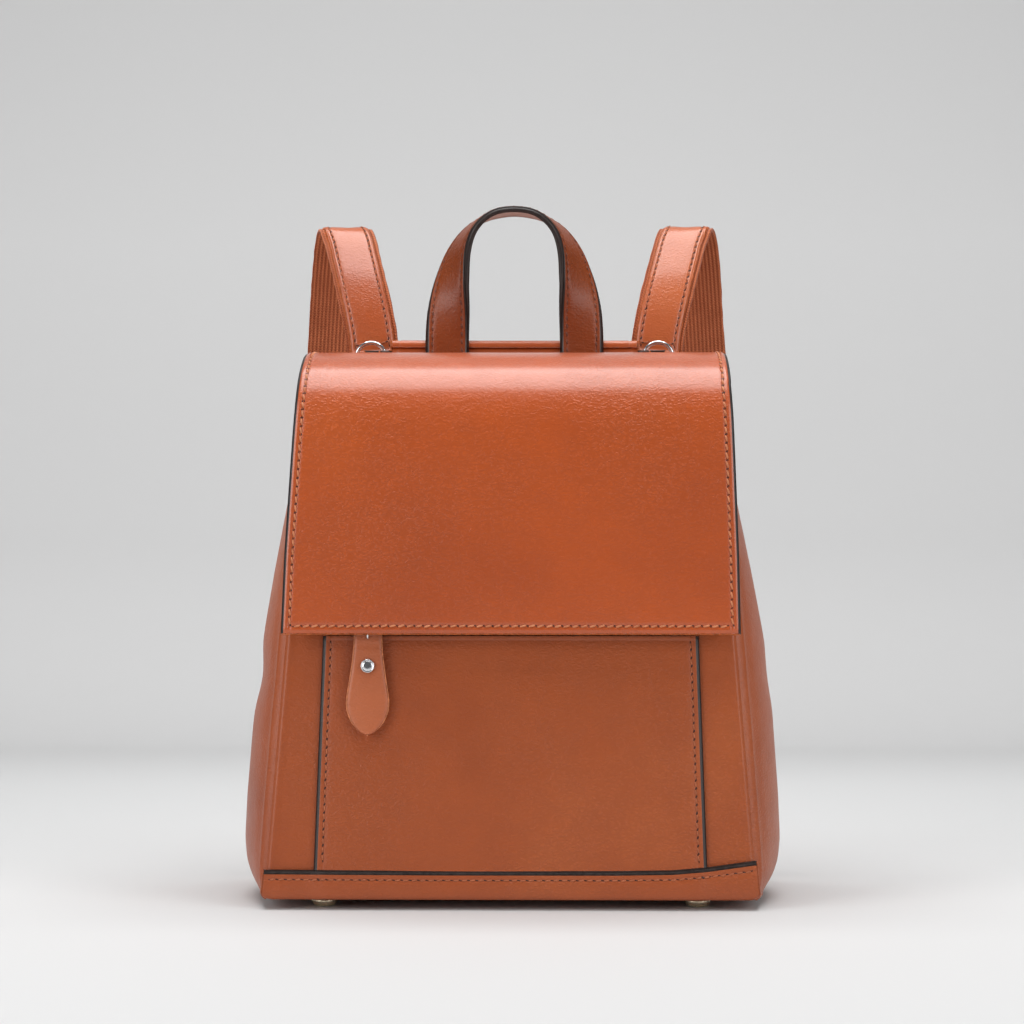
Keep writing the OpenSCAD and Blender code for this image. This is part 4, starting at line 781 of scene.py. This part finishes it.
def strap(side):
    nm = "left" if side < 0 else "right"; C, s, T, W, Nv = strap_frame(SP, side, 3.0); n = len(C)
    # woven backing with slightly uneven edges
    prof0 = np.array(rrect(32, 1.9, 0.7, 3, 26)); pr = np.repeat(prof0[None], n, 0)
    e = 0.28 * wav(s, 0 * s, 101 + side, 7) + 0.2 * wav(s, 0 * s, 111 + side, 2.6)
    pr = pr.copy(); pr[..., 0] *= (1 + (e / 16))[:, None]
    rib = 0.16 * np.sin(prof0[:, 0] * 2 * math.pi / 2.4) * (np.abs(prof0[:, 1]) > 0.8); pr[..., 1] += rib[None] * np.sign(prof0[:, 1])[None]
    tube(nm + "_strap_webbing", C + Nv * 1.0, W, Nv, pr, [WEB], body=nm + "_strap", rep=(nm + "_strap_backing",), slot="webbing")
    # leather strip on the outside
    us = across(26, (10.4,)); U = us[:, None]; d = 13 - np.abs(us)
    prof = 0.42 * np.exp(-((d - 2.6) / 0.75) ** 2) + 0.75 * np.exp(-(d / 0.8) ** 2) - 0.35 * np.clip(1 - (us / 9.5) ** 2, 0, 1)
    wv = 0.13 * wav(U, s[None], 121 + side, 15) + 0.0 * U
    hgt = 2.2 - prof[:, None] + wv
    P = C[None] + W[None] * U[..., None] - Nv[None] * hgt[..., None]
    sheet(nm + "_strap_leather_strip", P, hgt - 0.06, [LEATHER_S, RAW], sign=1, Nn=np.repeat(-Nv[None], len(us), 0), edges=(1, 1, 1, 1), uv=np.stack(np.broadcast_arrays(U, s[None]), -1), body=nm + "_strap", rep=(nm + "_strap_leather",), slot="tan_leather")
    rows = []
    for u in (-10.4, 10.4): rows.append(((C + W * u - Nv * 1.88)[1:-1], -Nv[1:-1]))
    for q in (2, -3):
        a = np.linspace(-9.4, 9.4, 20); rows.append((C[q] + W[q] * a[:, None] - Nv[q] * 2.32, np.tile(-Nv[q], (20, 1))))
    stitches(nm + "_strap_stitches", rows, pitch=4.7, L=3.5, w=1.0, h=0.8, slant=11, mat=THREAD_D, body=nm + "_strap", slot="tan_leather")
    # tongue folded round the top ring
    cx, cy, cz = side * 87.8, 66.1 + YO, 310.4
    path = [(cy + 7.6, 323.0), (cy + 7.5, 318.5), (cy + 6.9, 314.6), (cy + 5.2, 311.6)] + [(cy + 3.95 * math.cos(a), cz + 3.95 * math.sin(a)) for a in np.radians(np.arange(-6, -300, -14))] + [(cy + 4.6, cz + 4.0), (cy + 5.1, 318.0), (cy + 5.2, 321.5)]
    pth = catmull([[0, y, z] for y, z in path], 4); pth, q = resample(pth, step=1.0)
    us = np.array([-4.5, -4.3, -3.9, -3.2, -2.0, 0, 2.0, 3.2, 3.9, 4.3, 4.5]); T2 = unit(np.gradient(pth, axis=0)); n2 = np.stack([0 * q, -T2[:, 2], T2[:, 1]], -1)
    cc = np.array([0, cy, cz]); sgn = np.sign(((pth - cc) * n2).sum(1)); n2 = n2 * np.sign(np.median(sgn))
    crown = 0.25 * np.clip((us / 4.5) ** 4, 0, 1)
    Pq = np.stack([cx + us[:, None] + 0 * q[None], pth[None, :, 1] + (n2[None, :, 1] * (0.9 - crown[:, None])), pth[None, :, 2] + n2[None, :, 2] * (0.9 - crown[:, None])], -1)
    sg = 1 if (gridn(Pq)[5, 8] @ n2[8]) > 0 else -1
    sheet(nm + "_strap_tongue", Pq, 1.75, [DARK, RAW], sign=sg, edges=(1, 1, 0, 0), body=nm + "_strap", rep=(nm + "_strap_loop",), slot="tan_leather")
    prof = [(0, 1.4), (1.2, 1.35), (2.2, 1.1), (2.8, 0.7), (3.15, 0.3), (3.2, 0.0), (3.1, -0.2), (0, -0.2)]
    lathe(nm + "_strap_rivet_cap", prof, 40, [NICKEL], origin=(side * 87.8, 70.65 + YO, 318.3), axis=(0, -1, 0), body=nm + "_strap", rep=(nm + "_strap_rivets",), slot="nickel")
    # three-bar adjuster, drawn as one rounded frame and a middle bar
    cyl = np.array([side * 125.9, 115.0 + YO, 159.0]); a = math.radians(-6.8); ex = np.array([1.0, 0, 0]); eu = np.array([0, -math.sin(a), math.cos(a)]) * 1.0; en = np.array([0, -math.cos(a), -math.sin(a)])
    loop = [];
    for qx, qz, a0 in ((14.6, 10.6, 0), (-14.6, 10.6, 90), (-14.6, -10.6, 180), (14.6, -10.6, 270)):
        for k in range(7):
            b = math.radians(a0 + 90 * k / 6); r = 2.0; loop.append((math.copysign(abs(qx) - 1.0 - r, qx) + 0 + r * math.cos(b), math.copysign(abs(qz) - 0.6 - r + 0.6, qz) + r * math.sin(b)))
    loop = np.array(loop); C2 = cyl + ex * loop[:, :1] + eu * loop[:, 1:2]; T2 = unit(np.roll(C2, -1, 0) - np.roll(C2, 1, 0)); S2 = np.cross(T2, en)
    parts = []; pr2 = rrect(1.9, 1.9, 0.8, 3, 1); m = len(pr2)
    V = (C2[:, None] + S2[:, None] * np.array(pr2)[None, :, :1] + en * np.array(pr2)[None, :, 1:]).reshape(-1, 3); L_ = len(C2)
    F = [[i * m + j, i * m + (j + 1) % m, ((i + 1) % L_) * m + (j + 1) % m, ((i + 1) % L_) * m + j] for i in range(L_) for j in range(m)]; parts.append((V, F, 0))
    V = []; xs = np.linspace(-13.2, 13.2, 13)
    for x in xs:
        for (p_, q_) in pr2: V.append(cyl + ex * x + eu * p_ * 1.6 + en * q_ * 0.95)
    F = [[i * m + j, i * m + (j + 1) % m, (i + 1) * m + (j + 1) % m, (i + 1) * m + j] for i in range(12) for j in range(m)] + [list(range(m))[::-1], [12 * m + j for j in range(m)]]; parts.append((np.array(V), F, 0))
    V, F, M = join_parts(parts); o = mk(nm + "_adjuster_frame", V, F, [NICKEL], M, body=nm + "_strap", rep=(nm + "_adjuster",), slot="nickel"); fixnormals(o)
    # lower adjusting strap
    C, s, T, W, Nv = strap_frame(LP, side, 3.0); us = across(20, (7.6,)); U = us[:, None]; d = 10 - np.abs(us)
    prof = 0.3 * np.exp(-((d - 2.4) / 0.7) ** 2) + 0.5 * np.exp(-(d / 0.8) ** 2); hgt = 1.1 - prof[:, None] + 0.08 * wav(U, s[None], 131 + side, 14)
    P = C[None] + W[None] * U[..., None] + Nv[None] * hgt[..., None]
    # its good face looks to the rear, away from the bag
    out = Nv if Nv[len(Nv) // 2][1] > 0 else -Nv
    P = C[None] + W[None] * U[..., None] + out[None] * hgt[..., None]; sg = 1 if (gridn(P)[4, 5] @ out[5]) > 0 else -1
    sheet(nm + "_lower_strap_leather", P, hgt + 1.1, [LEATHER_S, RAW, SUEDE], sign=sg, Nn=np.repeat(out[None], len(us), 0), inner=2, edges=(1, 1, 1, 1), uv=np.stack(np.broadcast_arrays(U, s[None]), -1), body=nm + "_strap", rep=(nm + "_lower_strap",), slot="tan_leather")
    rows = [((C + W * u + out * 0.95)[1:-1], out[1:-1]) for u in (-7.6, 7.6)]
    stitches(nm + "_lower_strap_stitches", rows, pitch=4.7, L=3.6, w=0.95, h=0.7, slant=10, body=nm + "_strap", slot="tan_leather")
    # keeper: a leather band round the lower strap
    kc = np.array([side * 126.3, 101.9 + YO, 99.6]); a = math.radians(-13.2); ky = np.array([0, math.cos(a), math.sin(a)]); kz = np.array([0, -math.sin(a), math.cos(a)])
    lp = np.array(rrect(22.9, 4.9, 1.9, 6, 8)); lp = np.vstack([lp, lp[:1]]); lp, _ = resample(lp, step=0.9); lp = lp[:-1]
    th = np.roll(lp, -1, 0) - np.roll(lp, 1, 0); th = unit(th); nn = np.stack([th[:, 1], -th[:, 0]], -1); nn *= np.sign((lp * nn).sum(1))[:, None]
    hs = np.array([-4, -3.7, -3.0, -2.2, -1.4, 0, 1.4, 2.2, 3.0, 3.7, 4]); V, F = [], []; k = len(lp); m = len(hs)
    prof = [(0.82 - 0.45 * math.exp(-((4 - abs(h)) / 0.5) ** 2) - 0.12 * math.exp(-((abs(h) - 2.2) / 0.5) ** 2), h) for h in hs] + [(-0.8, h) for h in hs[::-1]]
    mp = len(prof)
    for (x, y), (nx, ny) in zip(lp, nn):
        for o_, h in prof: V.append(kc + np.array([1.0, 0, 0]) * (x + nx * o_) + ky * (y + ny * o_) + kz * h)
    F = [[i * mp + j, i * mp + (j + 1) % mp, ((i + 1) % k) * mp + (j + 1) % mp, ((i + 1) % k) * mp + j] for i in range(k) for j in range(mp)]
    Mi = [1 if (j in (m - 1, 2 * m - 1)) else 0 for i in range(k) for j in range(mp)]
    o = mk(nm + "_keeper_band", V, F, [LEATHER_S, RAW], Mi, body=nm + "_strap", rep=(nm + "_keeper",), slot="tan_leather"); fixnormals(o)
    # the lower strap's end, folded round the lower ring
    cy, cz = 80 + YO, 33.3; th = np.radians(np.arange(62, 62 - 316, -7)); us = np.array([-8, -7.8, -7.4, -6.6, -5.6, -3, 0, 3, 5.6, 6.6, 7.4, 7.8, 8])
    r = 5.25 - 0.4 * np.exp(-((8 - np.abs(us)) / 0.5) ** 2) - 0.2 * np.exp(-((np.abs(us) - 5.6) / 0.6) ** 2)
    P = np.stack([side * 126 + us[:, None] + 0 * th[None], cy + r[:, None] * np.cos(th)[None], cz + r[:, None] * np.sin(th)[None]], -1)
    Nn = np.stack([0 * th, np.cos(th), np.sin(th)], -1); sg = 1 if (gridn(P)[5, 5] @ Nn[5]) > 0 else -1
    sheet(nm + "_lower_loop_leather", P, 1.5, [DARK, RAW], sign=sg, Nn=np.repeat(Nn[None], len(us), 0), edges=(1, 1, 0, 0), body=nm + "_strap", rep=(nm + "_lower_loop",), slot="tan_leather")
strap(-1); strap(1)

# ---------------------------------------------------------------- tabs that hold the rings
parts = []
for sx in (-1, 1):
    x0, y0, z0 = sx * 78.8, 66.1 + YO, 319.0; prof = [(2.35, -4.0), (2.9, -4.15), (3.35, -3.9), (3.6, -3.3), (3.62, -1.2), (3.5, -0.6), (3.62, 0), (3.62, 1.2), (3.5, 1.8), (3.6, 3.3), (3.35, 3.9), (2.9, 4.15), (2.35, 4.0)]
    seg = 40; k = len(prof); V = [(x0 + r * math.cos(2 * math.pi * i / seg), y0 + r * math.sin(2 * math.pi * i / seg), z0 + z) for i in range(seg) for r, z in prof]
    F = [[i * k + j, ((i + 1) % seg) * k + j, ((i + 1) % seg) * k + (j + 1) % k, i * k + (j + 1) % k] for i in range(seg) for j in range(k)]; parts.append((np.array(V), F, 0))
V, F, M = join_parts(parts); o = mk("yoke_tab_sleeves", V, F, [DARK], M, body="root", rep=("yoke_tabs",), slot="dark_leather"); fixnormals(o)
def lower_tabs():
    for sx in (-1, 1):
        ly, lz = 80 + YO, 26.0
        pth = [(ly - 7.0, 9.8), (ly - 4.6, 9.7), (ly - 2.4, 10.6), (ly - 0.9, 13.0), (ly - 0.6, 16.0)] + [(ly + 3.2 * math.cos(a), lz - 5.7 + 3.2 * math.sin(a)) for a in np.radians(np.arange(200, -96, -15))]
        pth = catmull([[0, y, z] for y, z in pth], 3); pth, q = resample(pth, step=1.0); T2 = unit(np.gradient(pth, axis=0)); n2 = np.stack([0 * q, -T2[:, 2], T2[:, 1]], -1)
        cc = np.array([0, ly, lz - 5.7]); m = len(pth) * 2 // 3; n2 = n2 * np.sign((pth[m] - cc) @ n2[m])
        us = np.array([-9, -8.8, -8.4, -7.6, -6.6, -5.8, -3, 0, 3, 5.8, 6.6, 7.6, 8.4, 8.8, 9]); h = 0.8 - 0.4 * np.exp(-((9 - np.abs(us)) / 0.6) ** 2) - 0.2 * np.exp(-((np.abs(us) - 6.6) / 0.6) ** 2)
        P = np.stack([sx * 126 + us[:, None] + 0 * q[None], pth[None, :, 1] + n2[None, :, 1] * h[:, None], pth[None, :, 2] + n2[None, :, 2] * h[:, None]], -1); sg = 1 if (gridn(P)[6, m] @ n2[m]) > 0 else -1
        o = sheet("lower_tab_leather_" + ("left" if sx < 0 else "right"), P, 1.5, [LEATHER_S, RAW], sign=sg, edges=(1, 1, 1, 1), body="root", rep=("lower_tabs",) if sx < 0 else (), slot="tan_leather")
lower_tabs()
def rect_ring(c, w, h, r0):
    loop = []
    for qx, qz, a0 in ((w, h, 0), (-w, h, 90), (-w, -h, 180), (w, -h, 270)):
        for k in range(9):
            b = math.radians(a0 + 90 * k / 8); r = 2.6; loop.append((math.copysign(abs(qx) - r, qx) + r * math.cos(b), math.copysign(abs(qz) - r, qz) + r * math.sin(b)))
    C2 = np.array(c) + np.array([[x, 0, z] for x, z in loop]); T2 = unit(np.roll(C2, -1, 0) - np.roll(C2, 1, 0)); en = np.array([0, 1.0, 0]); S2 = np.cross(T2, en)
    b = np.linspace(0, 2 * math.pi, 17)[:-1]; m = 16; V = (C2[:, None] + S2[:, None] * (r0 * np.cos(b))[None, :, None] + en * (r0 * np.sin(b))[None, :, None]).reshape(-1, 3); L_ = len(C2)
    return V, [[i * m + j, i * m + (j + 1) % m, ((i + 1) % L_) * m + (j + 1) % m, ((i + 1) % L_) * m + j] for i in range(L_) for j in range(m)], 0
V, F, M = join_parts([rect_ring((sx * 126, 80 + YO, 27), 12.9, 6.9, 1.15) for sx in (-1, 1)])
o = mk("lower_ring_wire", V, F, [NICKEL], M, body="root", rep=("lower_rings",), slot="nickel"); fixnormals(o)

# ---------------------------------------------------------------- slider, link and snap stud
def rounded_slider():
    XC = -80.6; parts = []
    xs = np.array([-6, -5.9, -5.5, -4.8, -3.5, 0, 3.5, 4.8, 5.5, 5.9, 6]); prof = rrect(9, 1.8, 0.8, 4, 4, crown=0.25); m = len(prof); V = []
    for x in xs:
        g = 1 - 0.18 * max(0, (abs(x) - 4.4) / 1.6) ** 2
        for a, b in prof: V.append(front(XC + x, -4.3 - b * g, 154 + a * g * (1 - 0.02 * abs(x))))
    F = [[i * m + j, i * m + (j + 1) % m, (i + 1) * m + (j + 1) % m, (i + 1) * m + j] for i in range(len(xs) - 1) for j in range(m)] + [list(range(m))[::-1], [(len(xs) - 1) * m + j for j in range(m)]]
    parts.append((np.array(V), F, 0))
    # bridge: a wire bent out from the plate and across
    arc = catmull([[-4.8, -5.0, 151.2], [-4.9, -6.6, 150.8], [-4.6, -7.9, 150.5], [-3.4, -8.35, 150.5], [0, -8.4, 150.5], [3.4, -8.35, 150.5], [4.6, -7.9, 150.5], [4.9, -6.6, 150.8], [4.8, -5.0, 151.2]], 6)
    C2 = np.stack([front(XC + a[0], a[1], a[2]) for a in arc]); T2 = unit(np.gradient(C2, axis=0)); h = FUP; S2 = unit(np.cross(T2, h)); B2 = np.cross(S2, T2); b = np.linspace(0, 2 * math.pi, 13)[:-1]
    V = (C2[:, None] + S2[:, None] * (0.7 * np.cos(b))[None, :, None] + B2[:, None] * (0.7 * np.sin(b))[None, :, None]).reshape(-1, 3); L_ = len(C2)
    F = [[i * 12 + j, i * 12 + (j + 1) % 12, (i + 1) * 12 + (j + 1) % 12, (i + 1) * 12 + j] for i in range(L_ - 1) for j in range(12)] + [list(range(12))[::-1], [(L_ - 1) * 12 + j for j in range(12)]]
    parts.append((V, F, 0)); V, F, M = join_parts(parts); o = mk("zip_slider_body", V, F, [NICKEL], M, rep=("zip_slider",), slot="nickel"); fixnormals(o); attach(o, "zip_slider")
    V, F = torus(2.4, 0.55, 48, 14); c = front(XC, -8.3, 149.5)
    V = c + FX * 0 + np.stack([V[:, 1], -V[:, 0] * math.cos(TILT), V[:, 0] * math.sin(TILT)], -1) + V[:, 2:] * FUP
    o = mk("pull_link_wire", V, F, [NICKEL], rep=("pull_link",), slot="nickel"); fixnormals(o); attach(o, "zip_pull")
rounded_slider()
lathe("snap_stud_metal", [(0, 0), (8.6, 0), (9, 0.5), (9, 1.6), (8.4, 2.4), (7.5, 2.9), (2.2, 3.0), (1.7, 3.4), (1.55, 5.6), (1.6, 6.4), (1.2, 6.9), (0, 7)], 64, [NICKEL], origin=(0, -70.1 + YO, 196.26), axis=(0, 1, 0), body="flap_front", rep=("snap_stud",), slot="nickel")

# ================================================================ STAGE, LIGHT, CAMERA
def stage_sweep():
    prof = [(-3.0, 0.0)] + [(y, 0.0) for y in np.linspace(-2.4, 0.98, 24)]
    R = 0.20; c = (1.0, R)
    for k in range(1, 17):
        a = math.pi / 2 * k / 16; prof.append((c[0] + R * math.sin(a), c[1] - R * math.cos(a)))
    prof += [(1.2, z) for z in np.linspace(0.3, 3.2, 16)]
    xs = np.linspace(-3.2, 3.2, 33); pr = np.array(prof)
    V = np.array([[(x * 1000, y * 1000, z * 1000) for y, z in pr] for x in xs]).reshape(-1, 3); k = len(pr); F = []
    for i in range(len(xs) - 1):
        for j in range(k - 1): F.append([i * k + j, (i + 1) * k + j, (i + 1) * k + j + 1, i * k + j + 1])
    m = N("studio_paper"); g = m.n("ShaderNodeNewGeometry").outputs["Position"]; sep = m.n("ShaderNodeSeparateXYZ"); m.l(g, sep.inputs[0])
    # painted light falloff: the paper's colour is set by height, a little darker on the wall than on the floor and
    # darkest towards the top
    wall_painted_falloff = m.ramp(m.math("MULTIPLY", sep.outputs[2], 1.0), [(0.0, WALL0), (0.22, WALL1), (0.50, WALL2), (0.75, WALL3), (1.0, WALL4)])
    fl = m.math("MULTIPLY_ADD", sep.outputs[1], 1.0, 0.0)
    f = m.ramp(m.math("MULTIPLY_ADD", sep.outputs[1], 1.0, -0.6), [(0.0, (0, 0, 0)), (0.50, (1, 1, 1))], "EASE")
    m.l(m.mix(f, FLOORC, wall_painted_falloff), m.b.inputs["Base Color"]); m.set(Roughness=0.9, Specular_IOR_Level=0.1)
    o = mk("studio_sweep", V, F, [m.m]); return o
# wall colours by height carry a painted light falloff (darker upward); FLOORC is the floor's colour
WALL0 = (0.62, 0.62, 0.62); WALL1 = (0.64, 0.64, 0.64); WALL2 = (0.61, 0.61, 0.61); WALL3 = (0.52, 0.52, 0.52); WALL4 = (0.45, 0.45, 0.45); FLOORC = (0.70, 0.703, 0.703, 1)
stage_sweep()
def area(name, loc, target, size, power, color=(1, 1, 1), size_y=None, spread=math.pi):
    L = bpy.data.lights.new(name, "AREA"); L.energy = power; L.color = color; L.shape = "RECTANGLE"; L.size = size; L.size_y = size_y or size; L.spread = spread
    o = bpy.data.objects.new(name, L); COL.objects.link(o); o.location = loc
    o.rotation_euler = (Vector(target) - Vector(loc)).to_track_quat("-Z", "Y").to_euler(); return o
area("overhead", (0.0, -0.16, 1.75), (0, -0.10, 0.0), 1.5, 28, size_y=1.25)
area("left_fill", (-1.55, -1.25, 0.75), (0, -0.05, 0.2), 1.0, 17.5, size_y=1.3)
area("right_fill", (1.55, -1.25, 0.75), (0, -0.05, 0.2), 1.0, 14, size_y=1.3)
area("wall_light", (0.0, 0.35, 1.9), (0, 1.2, 0.55), 2.4, 5.5, size_y=0.4)
w = bpy.data.worlds.new("studio"); bpy.context.scene.world = w; w.use_nodes = True
bg = w.node_tree.nodes["Background"]; bg.inputs[0].default_value = (0.92, 0.94, 0.96, 1); bg.inputs[1].default_value = 0.12
cam = bpy.data.cameras.new("cam"); cam.lens = 100.0; cam.sensor_width = 36; cam.clip_start = 0.05; cam.clip_end = 30
co = bpy.data.objects.new("cam", cam); COL.objects.link(co); co.location = (0.0300, -1.7008, 0.220)
co.rotation_euler = (Vector((0.0010, -0.101, 0.2240)) - Vector(co.location)).to_track_quat("-Z", "Y").to_euler(); bpy.context.scene.camera = co
vs = bpy.context.scene.view_settings; vs.view_transform = "Standard"; vs.look = "None"; vs.exposure = 0.0; vs.gamma = 1.0
